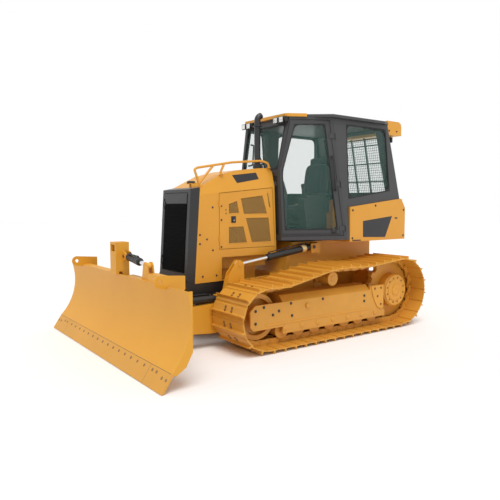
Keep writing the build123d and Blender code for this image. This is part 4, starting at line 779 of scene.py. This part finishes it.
both_sides("door_mesh", [side_plate(inset_outline(corners, 1.5), HOOD_FACE - 3, 0.0012, 0.0004)
                         for corners in DOOR_GRILLES], HOOD_MESH, ENGINE_DOOR)
both_sides("door_rims", [rim(corners) for corners in DOOR_GRILLES[:4]], YELLOW, ENGINE_DOOR)
flank_bolts("door_bolts", ((2377, 1616), (2378, 1452), (2380, 1133)), HOOD_FACE, 0.009, 0.007,
            body=ENGINE_DOOR)
flank_bolts("latch_bolts", ((2314, 1569), (2314, 1528)), HOOD_FACE, 0.006, 0.005, body=ENGINE_DOOR)
flank_bolts("hood_bolts", NOSE_BOLTS, HOOD_FACE, 0.009, 0.007)
both_sides("door_latch_plate", side_plate(rectangle(2172, 1415, 2241, 1495), HOOD_FACE, 0.004), BLACK,
           ENGINE_DOOR)
paddle = rounded_block(at(2184, HOOD_FACE + 4, 1428), at(2229, HOOD_FACE + 11, 1482), 0.004)
both_sides("door_latch_paddle", paddle, BLACK, ENGINE_DOOR)
LOCK = ((0.008, 0), (0.008, 0.004), (0.006, 0.005), (0.002, 0.0052))
both_sides("door_latch_lock", turned(LOCK, at(2206, HOOD_FACE + 10, 1444), LEFT, 20), STEEL, ENGINE_DOOR)
blank = closed_rows(np.array([on_shoulder(BLANK_PLATE, 0.0), on_shoulder(BLANK_PLATE, 2.0)]))
both_sides("blank_plate", blank, BLACK, smooth=False)


# Cab: window rubbers, doors, grab loops, wiper, roof, lamps and the rear screen's wires

CAB_FLOOR = 1180
CAB_TOP = 2725
ROOF_TOP = CAB_TOP + 38
PILLAR_FOOT, PILLAR_KNEE, PILLAR_TOP = (1533, CAB_FLOOR), (1573, 2037), (1445, CAB_TOP)
CAB_DOOR = "cab_door_SIDE"
DOOR_SHEET = Sheet((1533, 420, 0), (740 - 1533, 790 - 420, 0), UP)
SIDE_LEAN = radians(3.27)
SIDE_SHEET = Sheet((0, 790, CAB_FLOOR), (-1, 0, 0), (0, -sin(SIDE_LEAN), cos(SIDE_LEAN)))
REAR_RUN, REAR_RISE = 337, 1545
REAR_STEEP = REAR_RISE / hypot(REAR_RUN, REAR_RISE)
REAR_SHEET = cross_sheet((-451, CAB_FLOOR), (REAR_RUN - 451, REAR_RISE + CAB_FLOOR), RIGHT)
DOOR_EDGE = ((10, 1238), (-32, 2036), (104, CAB_TOP - 37), (612, CAB_TOP - 37), (828, 1238))
DOOR_GLASS = ((46, 1312), (4, 2044), (160, CAB_TOP - 91), (560, CAB_TOP - 78), (750, 1312))
SIDE_GLASS = ((-690, 532), (-700, 1482), (70, 1482), (125, 646))
REAR_GLASS = ((-560, 1800), (-520, 2640), (520, 2640), (560, 1800))
LOW_SCREEN = ((-375, 1260), (-375, 1990), (375, 1990), (375, 1260))
HIGH_SCREEN = ((-372, 2075), (-400, 2640), (400, 2640), (372, 2075))


def windscreen(low, high, outline):
    sheet = cross_sheet(low, high)
    return sheet.trim([(y, (z - low[1]) / sheet.up[2]) for y, z in outline], 14, 3.0, 60)


both_sides("door_window_trim", DOOR_SHEET.trim(DOOR_GLASS, 10, 2.5, 70, 2), RUBBER, CAB_DOOR)
both_sides("side_window_trim", SIDE_SHEET.trim(SIDE_GLASS, 12, 2.5, 80), RUBBER)
mesh_piece("windscreen_trim", [windscreen(PILLAR_FOOT, PILLAR_KNEE, LOW_SCREEN),
                               windscreen(PILLAR_KNEE, PILLAR_TOP, HIGH_SCREEN)], RUBBER)
rear_outline = [(-y, (z - CAB_FLOOR) / REAR_STEEP) for y, z in REAR_GLASS]
mesh_piece("rear_window_trim", REAR_SHEET.trim(rear_outline, 14, 3.0, 60, 5, 12), RUBBER)

bead = [(round_corners(inset_outline(anticlockwise(DOOR_EDGE), amount), 20), height)
        for amount, height in ((2, -1.0), (4, 2.0), (12, 2.0), (14, -0.5))]
both_sides("door_edge_bead", DOOR_SHEET.rings(bead), CAB_GREY, CAB_DOOR)
GRAB_LOW, GRAB_HIGH = (704, 1819), (655, 2235)
grab = rounded_path(DOOR_SHEET.hand_rail(GRAB_LOW, GRAB_HIGH, 42), 0.035, 8)
both_sides("door_grab_bar", tube(grab, 0.0095, 14), BLACK, CAB_DOOR)
GRAB_FOOT = ((0.020, 0.0), (0.020, 0.004), (0.012, 0.007))
both_sides("grab_bar_feet", [turned(GRAB_FOOT, DOOR_SHEET.spot(place), DOOR_SHEET.out, 20)
                             for place in (GRAB_LOW, GRAB_HIGH)], BLACK, CAB_DOOR)
LATCH_BOSS = ((0.034, 0.0), (0.034, 0.006), (0.030, 0.010), (0.026, 0.011), (0.006, 0.012))
both_sides("door_latch", [turned(LATCH_BOSS, DOOR_SHEET.spot((700, 1290)), DOOR_SHEET.out, 32),
                          DOOR_SHEET.slab(rectangle(660, 1278, 725, 1302), 11, 22, 3.0)], BLACK, CAB_DOOR)
both_sides("door_lower_strip", DOOR_SHEET.slab(((30, 1252), (30, 1272), (800, 1272), (806, 1252)), 0, 5),
           TRIM, CAB_DOOR)

GRAB_LOOP = ((1478, 372, 2160), (1420, 345, 2170), (1400, 345, 2440), (1440, 366, 2450))
loop = rounded_path([at(*place) for place in GRAB_LOOP], 0.05, 8)
both_sides("pillar_grab_loop", tube(loop, 0.011, 12), GRIP)
SCREEN = cross_sheet(PILLAR_KNEE, PILLAR_TOP)
WIPER_PIVOT = (-180, 640)
WIPER_BLADE = ((-0.006, -0.004), (0.006, -0.004), (0.003, 0.004), (-0.003, 0.004))
arm = smooth_path(SCREEN([WIPER_PIVOT, (-120, 380), (60, 110)], 14), 6)
mesh_piece("wiper_arm", tube(arm, 0.005, 8), BLACK)
blade_ends = SCREEN([(-120, 330), (150, 40)], 9)
mesh_piece("wiper_blade", carried(np.linspace(*blade_ends, 6), WIPER_BLADE), RUBBER, smooth=False)
pivot = turned(((0.022, 0.0), (0.022, 0.012), (0.014, 0.020), (0.004, 0.021)), SCREEN.spot(WIPER_PIVOT),
               SCREEN.out, 24)
mesh_piece("wiper_pivot", pivot, BLACK)

RIB_Z = ROOF_TOP + 1.5
mesh_piece("roof_ribs", [tube(np.linspace(at(60, y, RIB_Z), at(1230, y, RIB_Z), 4), 0.004, 8)
                         for y in (-300, 0, 300)], CAB_GREY)
housing_places = [at(x, y, ROOF_TOP + 25.5) for x in (-180, -340) for y in (-600, -200, 200, 600)]
mesh_piece("housing_bolts", copies(bolt_head(0.009, 0.0026), housing_places, UP), BOLT)
flank_bolts("housing_side_bolts", ((-169, 2655), (-330, 2655)), 690, 0.010, 0.008)
LAMP_FACE, LAMP_MID = 1538, CAB_TOP - 40
lamp_heads, lamp_bowls, lamp_lenses = [], [], []
for y in (-400, -290, 290, 400):
    lamp_heads.append(rounded_block(at(LAMP_FACE - 22, y - 42, LAMP_MID - 38),
                                    at(LAMP_FACE, y + 42, LAMP_MID + 38), 0.008))
    low, high = at(LAMP_FACE - 3, y - 35, LAMP_MID - 31), at(LAMP_FACE + 1.5, y + 35, LAMP_MID + 31)
    lamp_bowls.append(rounded_block(low, high, 0.004))
    lamp_lenses.append(rounded_block(low + (0.0035, 0, 0), high + (0.004, 0, 0), 0.0035))
mesh_piece("lamp_heads", lamp_heads, GRIP, slot="lamp_black")
mesh_piece("lamp_reflectors", lamp_bowls, REFLECTOR)
mesh_piece("lamp_lenses", lamp_lenses, LENS)

WIRE_R, WIRE_STEP, BAR_CLEAR = 0.0028, 35.0, 14
wires = [tube(REAR_SHEET([(-y, 600 / REAR_STEEP), (-y, 1385 / REAR_STEEP)], 6), WIRE_R, 6)
         for y in np.arange(-560, 561, WIRE_STEP)
         if min(abs(abs(y) - 250), abs(y), abs(abs(y) - 590)) > BAR_CLEAR]
for z in np.arange(1810, 2560, WIRE_STEP):
    height = (z - CAB_FLOOR) / REAR_STEEP
    wires.append(tube(REAR_SHEET([(-585, height), (585, height)], 11), WIRE_R, 6))
mesh_piece("rear_screen_wires", wires, BLACK)


# Rear body: blank plate, a slot painted as a flat black plate of shade, bolts, filler cap, foot rest, and
# the tail's covers, handles and lamps

BODY_FACE = 790.0
BODY_PLATE = ((443, 1417), (-145, 1476), (-7, 1189), (438, 1205))
both_sides("body_plate", side_plate(BODY_PLATE, BODY_FACE, 0.002, 0.0006), BLACK, smooth=False)
# Painted shade: the slot's opening is drawn as a flat black plate on the face.
BODY_SLOT = round_corners(rectangle(-262, 1437, -202, 1457), 9)
both_sides("body_slot_shade", side_plate(BODY_SLOT, BODY_FACE - 1, 0.0018, 0.0004), GRIP)
BODY_BOLTS = ((-395, 1560), (-395, 1200), (640, 1560), (640, 1195), (200, 1620))
flank_bolts("body_bolts", BODY_BOLTS, BODY_FACE, 0.011, 0.009)
FILLER_CAP = ((0.048, 0.0), (0.048, 0.012), (0.044, 0.022), (0.036, 0.026), (0.010, 0.028))
mesh_piece("filler_cap", turned(FILLER_CAP, at(-250, 560, 1701), (0.1, 0, 1), 36), BLACK)
both_sides("body_foot_rest", side_plate(rectangle(490, 1160, 640, 1172), BODY_FACE, 0.012, 0.003), BLACK)

TAIL = cross_sheet((-430, 1150), (-425, 1586), RIGHT)
COVER_MID, COVER_HALF = 360, 300
covers, cover_bolts, handles = [], [], []
for mid in (-COVER_MID, COVER_MID):
    corners = rectangle(mid - COVER_HALF, 50, mid + COVER_HALF, 390)
    covers.append(TAIL.slab(round_corners(corners, 25), 0, 6, 2.0))
    cover_bolts += [(mid + across, up) for across in (-275, 0, 275) for up in (75, 365)]
    handle = rounded_path(TAIL.hand_rail((mid - 90, 300), (mid + 90, 300), 40, 5), 0.02, 6)
    handles.append(tube(handle, 0.007, 12))
mesh_piece("tail_covers", covers, YELLOW)
mesh_piece("tail_cover_bolts", copies(bolt_head(0.010, 0.008), TAIL(cover_bolts, 6), TAIL.out), BOLT)
mesh_piece("tail_handles", handles, BLACK)
housing_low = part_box("roof_housing")[0]


def lamp_block(y, half, near, far, low, high, radius):
    """A block under the rear housing: ahead of its back by near and far, below it by low and high."""
    back, top = housing_low[0] + 0.03, housing_low[2] + 0.002
    return rounded_block((back + near, y - half, top - low), (back + far, y + half, top - high), radius)


REAR_LAMPS = (-0.52, 0.52)
LAMP_BLOCKS = ((0.048, 0, 0.04, 0.084, 0.008, 0.007), (0.016, 0.012, 0.03, 0.012, 0, 0.003))
rear_heads = [lamp_block(y, *block) for y in REAR_LAMPS for block in LAMP_BLOCKS]
rear_lenses = [lamp_block(y, 0.040, -0.002, 0.003, 0.077, 0.015, 0.0024) for y in REAR_LAMPS]
mesh_piece("rear_lamp_heads", rear_heads, GRIP, slot="lamp_black")
mesh_piece("rear_lamp_lenses", rear_lenses, REFLECTOR)


# Exhaust and handrail

def hollow_tube(path, radius, wall, steps):
    """An open pipe: its outside, its mouth's ring, and its inside back over a fifth of its points."""
    outer, outer_faces = carried(path, ring(radius, steps), LEFT, False)
    back = path[len(path) * 4 // 5:]
    inner, inner_faces = carried(back, ring(radius - wall, steps), LEFT, False)
    count = len(outer)
    faces = outer_faces + [tuple(i + count for i in f)[::-1] for f in inner_faces]
    last_outer, last_inner = (len(path) - 1) * steps, count + (len(back) - 1) * steps
    faces += [(last_outer + j, last_outer + (j + 1) % steps, last_inner + (j + 1) % steps, last_inner + j)
              for j in range(steps)]
    faces += [tuple(count + j for j in range(steps)), tuple(range(steps))[::-1]]
    return np.vstack([outer, inner]), faces


STACK_X, STACK_Y = 1712, 150
STACK_HEAD = ((STACK_X, 2676), (1708, 2706), (1690, 2733), (1658, 2752))
stack_foot = at(STACK_X, STACK_Y, 2088)
straight = np.linspace(stack_foot, at(STACK_X, STACK_Y, 2660), 4)
bend = np.vstack([straight, smooth_path([at(x, STACK_Y, z) for x, z in STACK_HEAD], 5)])
stack = mesh_piece("exhaust_pipe", hollow_tube(bend, 0.0395, 0.004, 32), BLACK, sharp=50)
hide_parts("exhaust_stack")
stack_collars = [((0.041, low), (0.058, low + 0.003), (0.058, high - 0.003), (0.041, high))
                 for low, high in ((0.0, 0.060), (0.070, 0.082), (0.520, 0.534))]
mesh_piece("exhaust_collars", [turned(rows, stack_foot, UP, 36) for rows in stack_collars], BLACK)

RAIL_Y, RAIL_R = 292, 0.0138
RAIL = ((2640.1, 1844.7), (2655, 1874), (2715, 2030), (2680, 2052), (2200, 2135), (1750, 2174),
        (1660, 2150), (1642, 2120), (1640, 2088.8))
MIDDLE_LEG = ((2355.1, 1986.6), (2361, 2012), (2310, 2112))
RAIL_FOOT = ((0.030, 0.0), (0.030, 0.004), (0.018, 0.007))
RAIL_FEET = ((2640.1, 1844.9, (0.45, 0, 0.89)), (2355.1, 1987, (0.24, 0, 0.97)), (1640, 2088.9, UP))
rail_runs = (rounded_path([at(x, RAIL_Y, z) for x, z in RAIL], 0.05, 9),
             rounded_path([at(x, RAIL_Y, z) for x, z in MIDDLE_LEG], 0.02, 6),
             np.linspace(at(2655, RAIL_Y, 1874), at(2460, RAIL_Y, 2088), 3))
rail = [carried(run, ring(RAIL_R, 16), LEFT) for run in rail_runs]
rail += [turned(RAIL_FOOT, at(x, RAIL_Y, z), way, 24) for x, z, way in RAIL_FEET]
hand_rail = mesh_piece("hand_rail_tube", rail, YELLOW, sharp=50)
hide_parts("handrail")


# Nose: louvres, a near-black sheet behind them that paints the shade in their gaps, the top band, and the
# bracket with its cap

NOSE = cross_sheet((2856, 760), (2790, 1806))
GRILLE = "grille_door"
LOUVRE_HALF = 266
LOUVRE_LOW, LOUVRE_HIGH, LOUVRE_STEP, LOUVRE_WIDTH = 96, 880, 16, 9.0
louvres = []
for foot in np.arange(LOUVRE_LOW, LOUVRE_HIGH, LOUVRE_STEP) + 2.0:
    heads = ((foot + LOUVRE_WIDTH, 1.5), (foot + LOUVRE_WIDTH - 3, 8.0), (foot + 3, 10.0))
    rows = [(rectangle(-LOUVRE_HALF, foot, LOUVRE_HALF, head), out) for head, out in heads]
    louvres.append(NOSE.rings(rows, high=True))
mesh_piece("grille_louvres", louvres, LOUVRE_BLACK, GRILLE, sharp=30)
# Painted shade: a near-black sheet behind the louvres stands in for the shade seen between them.
mesh_piece("grille_gap_shade", NOSE.slab(rectangle(-268, 92, 268, 900), 0.4, 2.0, 0.5), LOUVRE_BLACK, GRILLE)
top_band = NOSE.slab(round_corners(rectangle(-267, 884, 267, 1000), 8), 0.4, 6.0, 2.0)
mesh_piece("grille_top_band", top_band, BLACK, GRILLE)
LEDGE = ((2650, 1838), (2700, 1834), (2752, 1820), (2758, 1868), (2740, 1880), (2668, 1878))
mesh_piece("nose_bracket_side", side_plate(LEDGE, 288, 0.008), YELLOW)
shelf = plate(metres(rectangle(2690, 190, 2772, 296)), at(0, 0, 1868), AHEAD, LEFT, 0.006)
mesh_piece("nose_bracket_shelf", shelf, YELLOW)
post = tube(np.linspace(at(2735, 232, 1826), at(2735, 232, 1872), 3), 0.016, 18)
mesh_piece("nose_cap_post", post, YELLOW)
NOSE_CAP = ((0.046, 0.0), (0.049, 0.004), (0.049, 0.018), (0.042, 0.026), (0.008, 0.029))
mesh_piece("nose_cap", turned(NOSE_CAP, at(2735, 250, 1873.5), UP, 32), BLACK)


# Seat: crowned cushions with sewn channels

CUSHION_STEPS = 72
FLAT_REACH, RIM_REACH = np.linspace(0.02, 0.93, 16), np.linspace(0.955, 1.0, 4)
RIM_DROP = (0.03, 0.14, 0.42, 1.0)
CHANNEL_WIDTH, CHANNEL_DEPTH = 0.009, 0.011
WELT_R = 0.0036


def cushion(name, centre, half, across, along, crown, channels):
    """A closed cushion. Round a rounded square (cos and sin to the power 0.42) the rim is pulled in between
    its corners; the top rises by the crown times (1 - r^3.2), less a narrow trough at each sewn channel.
    The bottom is the same with a fifth of the crown and no channels."""
    across, along = np.asarray(across, float), np.asarray(along, float)
    out = np.cross(across, along)
    turn = np.linspace(0, 2 * pi, CUSHION_STEPS, endpoint=False)
    way = np.stack([np.cos(turn), np.sin(turn)], 1)
    square = np.sign(way) * np.abs(way) ** 0.42 * (1 - 0.025 * np.cos(2 * turn)[:, None] ** 2)
    reach = np.concatenate([FLAT_REACH, RIM_REACH])
    drop = np.concatenate([np.zeros(len(FLAT_REACH)), RIM_DROP])
    rows = []
    for face, rounds in ((1, range(len(reach))), (-1, range(len(reach) - 1)[::-1])):
        for i in rounds:
            flat = square * reach[i] * half[:2]
            lift = crown * (1 - reach[i] ** 3.2) * (1 if face == 1 else 0.2)
            height = half[2] * (1 - drop[i]) + lift + np.zeros(CUSHION_STEPS)
            if face == 1 and reach[i] < 0.97:
                for line in channels:
                    height -= CHANNEL_DEPTH * np.exp(-((flat[:, 1] - line * half[1]) / CHANNEL_WIDTH) ** 2)
            rows.append(centre + flat[:, :1] * across + flat[:, 1:] * along
                        + out * (face * height)[:, None])
    points, faces = closed_rows(np.array(rows))
    piece = mesh_piece(name, (points, [f[::-1] for f in faces]), SEAT_CLOTH, sharp=70)
    welt_path = centre + square[:, :1] * half[0] * across + square[:, 1:] * half[1] * along
    mesh_piece(name + "_welt", looped(welt_path, ring(WELT_R, 8), out), TRIM, slot="seat_vinyl")
    return piece


SEAT_LOW = CAB_FLOOR + 330
BACK_LEAN = radians(8)
back_up = (-sin(BACK_LEAN), 0, cos(BACK_LEAN))
lower = cushion("seat_cushion", at(800, 0, SEAT_LOW + 66), (0.228, 0.226, 0.048), AHEAD, LEFT, 0.008,
                (-0.62, 0.62))
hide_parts("seat")
cushion("seat_back", at(560, 0, SEAT_LOW + 400), (0.300, 0.215, 0.046), back_up, RIGHT, 0.010, (-0.6, 0.6))
cushion("seat_head_rest", at(500, 0, SEAT_LOW + 735), (0.050, 0.130, 0.030), back_up, RIGHT, 0.008, ())
SHELL = ((450, 780), (500, 20), (540, 4), (1030, 4), (1030, 18), (560, 22), (520, 80), (470, 780))
shell = side_plate([(x, SEAT_LOW + z) for x, z in SHELL], -215, 0.430, 0.006)
mesh_piece("seat_shell", shell, TRIM)
arm_rests = [rounded_block(at(560, y - 35, SEAT_LOW + 235), at(860, y + 35, SEAT_LOW + 280), 0.02)
             for y in (-235, 235)]
mesh_piece("seat_arm_rests", arm_rests, GRIP, slot="seat_vinyl")
bellows = [(0.155 + 0.016 * (i % 2), 0.022 * i) for i in range(13)]
mesh_piece("seat_bellows", turned(bellows, at(850, 0, CAB_FLOOR + 42), UP, 40), RUBBER)


# Consoles: padded tops, gaiters and grips; dash: screen and switches

GAITER = [(0.050 - 0.0024 * i + 0.004 * (i % 2), 0.006 * i) for i in range(12)]
LEVER_GRIP = ((0.010, 0.060), (0.020, 0.062), (0.0235, 0.085), (0.021, 0.110), (0.0245, 0.135),
              (0.029, 0.155), (0.031, 0.172), (0.028, 0.188), (0.014, 0.196))
for side, hand in zip(SIDES, HANDS):
    y = hand * 330
    stick_way = at(1090, y, 1850) - at(1080, y, 1690)
    pad = rounded_block(at(728, y - 54, 1758), at(992, y + 54, 1786), 0.012)
    mesh_piece(f"console_pad_{side}", pad, GRIP, slot="seat_vinyl")
    mesh_piece(f"lever_gaiter_{side}", turned(GAITER, at(1080, y, 1716), stick_way, 32), RUBBER)
    mesh_piece(f"lever_grip_{side}", turned(LEVER_GRIP, at(1082, y, 1712), stick_way, 32), GRIP)
DASH = cross_sheet((1290, 1780), (1350, 1940), RIGHT)
mesh_piece("dash_screen", DASH.slab(round_corners(rectangle(-95, 30, 95, 150), 10), 0, 12, 2.0), GRIP)
mesh_piece("dash_switches", [DASH.slab(rectangle(y, z, y + 26, z + 34), 0, 7)
                             for y in (-215, -180, -145, 120, 155, 190) for z in (35, 95)], PANEL_GREY)


# Cylinders: glands, base rings, ports with their pipes, bands, and the pins' heads

def collar(rows, foot, way, steps=36, hollow=False):
    """Rows of (radius, distance along) in millimetres, turned about a cylinder's axis from a place on it; a
    hollow one is a ring whose last row joins its first."""
    points, faces = turned(np.array(rows, float) / 1000, foot, way, steps)
    return points, grid_faces(len(rows), steps, wrap_rows=True) if hollow else faces


def cylinder_trim(kind, suffix, start, end, share, barrel_r, rod_r, eye_r, up=UP):
    """What a cylinder carries on its barrel. The barrel's mouth is at a share of the way from pin to pin,
    and radii are in millimetres."""
    span = np.linalg.norm(end - start)
    way = (end - start) / span
    up = unit(np.asarray(up, float) - way * np.dot(up, way))
    side = np.cross(way, up) * 0.020
    base, mouth = start + way * (eye_r + 12) / 1000, start + way * span * share
    low_port, high_port = base + way * 0.045, mouth - way * 0.034
    gland = ((barrel_r, -58), (barrel_r + 3, -56), (barrel_r + 3, -10), (barrel_r - 1, -4),
             (barrel_r - 6, 1), (rod_r + 7, 2), (rod_r + 6, 7), (rod_r + 1.2, 9), (rod_r + 1.2, -4))
    base_ring = (barrel_r - 1, 0), (barrel_r + 2.5, 3), (barrel_r + 2.5, 12), (barrel_r - 0.5, 15)
    port = ((14, barrel_r - 6), (14, barrel_r + 9), (12, barrel_r + 12), (9, barrel_r + 13),
            (9, barrel_r + 22), (3, barrel_r + 22.5))
    band = (barrel_r - 1, -8), (barrel_r + 1.6, -7), (barrel_r + 1.6, 7), (barrel_r - 1, 8)
    rise = up * (barrel_r + 17) / 1000
    pipe = rounded_path([high_port + rise, high_port + rise - way * 0.035 + side * 0.2,
                         low_port + rise + way * 0.075 + side, low_port + rise + way * 0.03 + side,
                         low_port + up * (barrel_r + 2) / 1000 + side], 0.025, 7)
    parts = [collar(gland, mouth, way, hollow=True), collar(base_ring, base, way, hollow=True),
             collar(port, low_port, up, 20), collar(port, high_port, up, 20), tube(pipe, 0.0065, 10)]
    parts += [collar(band, start + way * span * share * part, way, hollow=True) for part in (0.42, 0.66)]
    mesh_piece(f"{kind}_barrel_trim{suffix}", parts, BLACK, f"{kind}_barrel{suffix}", sharp=30)


def pin_head(radius, height, place, way):
    """A stepped disc with a greasing nipple in its middle."""
    rows = ((radius, 0), (radius, height * 0.5), (radius * 0.92, height * 0.8),
            (radius * 0.5, height * 0.8), (radius * 0.46, height * 0.55), (5, height * 0.55),
            (5, height * 0.95), (3, height * 1.1), (1, height * 1.12))
    return collar(rows, place, way, 28)


def pin_cap(name, heads, body="root"):
    mesh_piece(name, heads, BOLT, body, "black_paint")


LIFT_FOOT, LIFT_HEAD = (1074, 480, 1087), (2240, 480, 928)
ANGLE_FOOT, ANGLE_HEAD = (2540, 480, 560), (3285, 450, 560)
TILT_FOOT, TILT_HEAD = (3470, 130, 1070), (3470, 650, 1010)
CASTING = ((42, -2), (46, 0), (48, 5), (48, 58), (46, 63), (42, 65))
for side, hand in zip(SIDES, HANDS):
    lift_foot, lift_head, angle_foot, angle_head = (
        at(x, hand * y, z) for x, y, z in (LIFT_FOOT, LIFT_HEAD, ANGLE_FOOT, ANGLE_HEAD))
    cylinder_trim("lift", f"_{side}", lift_foot, lift_head, 0.63, 42, 24, 40)
    cylinder_trim("angle", f"_{side}", angle_foot, angle_head, 0.67, 38, 20, 34)
    lift_way = unit(lift_head - lift_foot)
    casting = collar(CASTING, lift_foot + lift_way * 0.118, lift_way, hollow=True)
    mesh_piece(f"lift_foot_casting_{side}", casting, CREAM, f"lift_barrel_{side}")
    pin_cap(f"angle_mount_cap_{side}", pin_head(20, 6, angle_foot + (0, 0, 0.062), UP), "push_frame")
    pin_cap(f"angle_eye_cap_{side}", pin_head(22, 6, angle_head + (0, 0, 0.052), UP), "yoke")
cylinder_trim("tilt", "", at(*TILT_FOOT), at(*TILT_HEAD), 0.62, 40, 22, 34, (0.2, 0, 1))
pin_cap("tilt_mount_cap", pin_head(19, 5, at(3519, 130, 1070), AHEAD), "yoke")
pin_cap("lift_mount_caps", [pin_head(24, 6, at(1074, hand * 532, 1087), (0, hand, 0)) for hand in HANDS])


# Blade: the cutting edge's bolts with their nuts, and its seams

EDGE_HIGH, EDGE_TIP = (3700.2, 167.7), (3806.0, 6.0)
EDGE_LONG = hypot(EDGE_HIGH[0] - EDGE_TIP[0], EDGE_HIGH[1] - EDGE_TIP[1])
EDGE = cross_sheet(EDGE_TIP, EDGE_HIGH)
PLOUGH_BOLT = ((0.0155, 0.0), (0.0150, 0.0022), (0.011, 0.0034), (0.002, 0.0036))
BOLT_ROW = EDGE_LONG - 44
END_BOLTS = ((1240, BOLT_ROW), (1323, BOLT_ROW), (1450, BOLT_ROW - 25), (1530, BOLT_ROW - 25))
bolt_spots = [(y, BOLT_ROW) for y in np.arange(-1064, 1065, 152)]
bolt_spots += [(hand * y, up) for hand in HANDS for y, up in END_BOLTS]
plough_bolt = turned(PLOUGH_BOLT, (0, 0, 0), UP, 24)
mesh_piece("edge_bolts", copies(plough_bolt, EDGE(bolt_spots), EDGE.out), WORN_BOLT, "blade", "edge_steel")
mesh_piece("edge_seams", [EDGE.slab(rectangle(y - 1.6, 3, y + 1.6, EDGE_LONG - 2), -1, 0.7, 0.3)
                          for y in (-1175, 1175)], WORN_BOLT, "blade", "edge_steel", smooth=False)
top_seam = EDGE.slab(rectangle(-1560, EDGE_LONG - 3, 1560, EDGE_LONG + 0.5), -4, 1.2, 0.4)
mesh_piece("edge_top_seam", top_seam, BOLT, "blade", "edge_steel", smooth=False)
nuts = copies(bolt_head(0.014, 0.013), EDGE(bolt_spots, -19.9), -EDGE.out)
mesh_piece("edge_nuts", nuts, WORN_BOLT, "blade", "edge_steel")


# Finish of every solid

FINISHES = (
    ("track_left track_right sprockets track_frames idlers track_rollers carrier_rollers", TRACK_PAINT),
    ("final_drives main_frame hood engine_door_left engine_door_right roof_bar roof_housing rear_body "
     "rear_hitch engine_block handrail", YELLOW),
    ("push_frame yoke_tower blade", BLADE_PAINT),
    ("cutting_edge", EDGE_PAINT),
    ("cab_frame cab_roof cab_door_left cab_door_right", CAB_GREY),
    ("nose_support nose_frame grille_door exhaust_stack rear_screen tilt_barrel lift_barrel_left "
     "lift_barrel_right angle_barrel_left angle_barrel_right radiator", BLACK),
    ("lift_rod_left lift_rod_right", rod_finish("lift_rod_finish", 0, AXLE_X + 2.190, *CAST_CREAM)),
    ("angle_rod_left angle_rod_right", rod_finish("angle_rod_finish", 0, AXLE_X + 3.244, *CAST_YELLOW)),
    ("tilt_rod", rod_finish("tilt_rod_finish", 1, 0.610, *CAST_YELLOW)),
    ("cab_glass door_glass_left door_glass_right", TINT),
    ("cab_floor seat_pedestal consoles", TRIM),
    ("front_lamps", GRIP),
    ("seat", SEAT_CLOTH),
)
for names, material in FINISHES:
    for name in names.split():
        for slot in NODES[name].material_slots:
            slot.material = material


# Floor, light and camera

FLOOR_CORNERS = rectangle(-40, -40, 40, 40)
floor_mesh = bpy.data.meshes.new("floor")
floor_mesh.from_pydata([(x, y, -0.001) for x, y in FLOOR_CORNERS], [], [(0, 1, 2, 3)])
floor_mesh.materials.append(paint("floor_pale", (0.965, 0.96, 0.955), (0.96, 0.955, 0.95), 0.9, 0.0))
floor = in_scene("floor", floor_mesh)

# The world lights with a dim sky, and shows white to the camera and in metal and glass
world = bpy.data.worlds.new("studio")
bpy.context.scene.world = world
b = Board(world)
path = b.tree.nodes.new("ShaderNodeLightPath")
camera_ray, through_ray, glossy_ray = (Wire(b, path.outputs[f"Is {kind} Ray"])
                                       for kind in ("Camera", "Transmission", "Glossy"))
seen = b.math("MAXIMUM", b.math("MAXIMUM", camera_ray, through_ray), glossy_ray)
sky = b.node("ShaderNodeBackground", {}, {"Color": (0.96, 0.98, 1.0, 1), "Strength": 0.62})
white = b.node("ShaderNodeBackground", {}, {"Color": (1.0, 1.0, 1.0, 1)})
shown = b.node("ShaderNodeMixShader", {}, {0: seen, 1: sky, 2: white})
b.node("ShaderNodeOutputWorld", {}, {"Surface": shown})

SUN_PLACE = (2.5, 4.5, 11)
sun_data = bpy.data.lights.new("sun", "SUN")
sun_data.energy = 1.8
sun_data.color = (1.0, 0.985, 0.965)
sun_data.angle = radians(35)
sun = in_scene("sun", sun_data)
sun_way = -unit(SUN_PLACE)
sun.location = SUN_PLACE
sun.rotation_euler = (np.arccos(-sun_way[2]), 0, np.arctan2(sun_way[1], sun_way[0]) - pi / 2)

camera_data = bpy.data.cameras.new("camera")
camera_data.lens = 38.21
camera_data.sensor_width = 36.0
camera = in_scene("camera", camera_data)
camera.location = (4.13415, 5.58434, 1.62564)
camera.rotation_euler = (radians(90 - 4.83), 0, radians(-126.15 - 90))
bpy.context.scene.camera = camera
bpy.context.scene.view_settings.view_transform = "Standard"
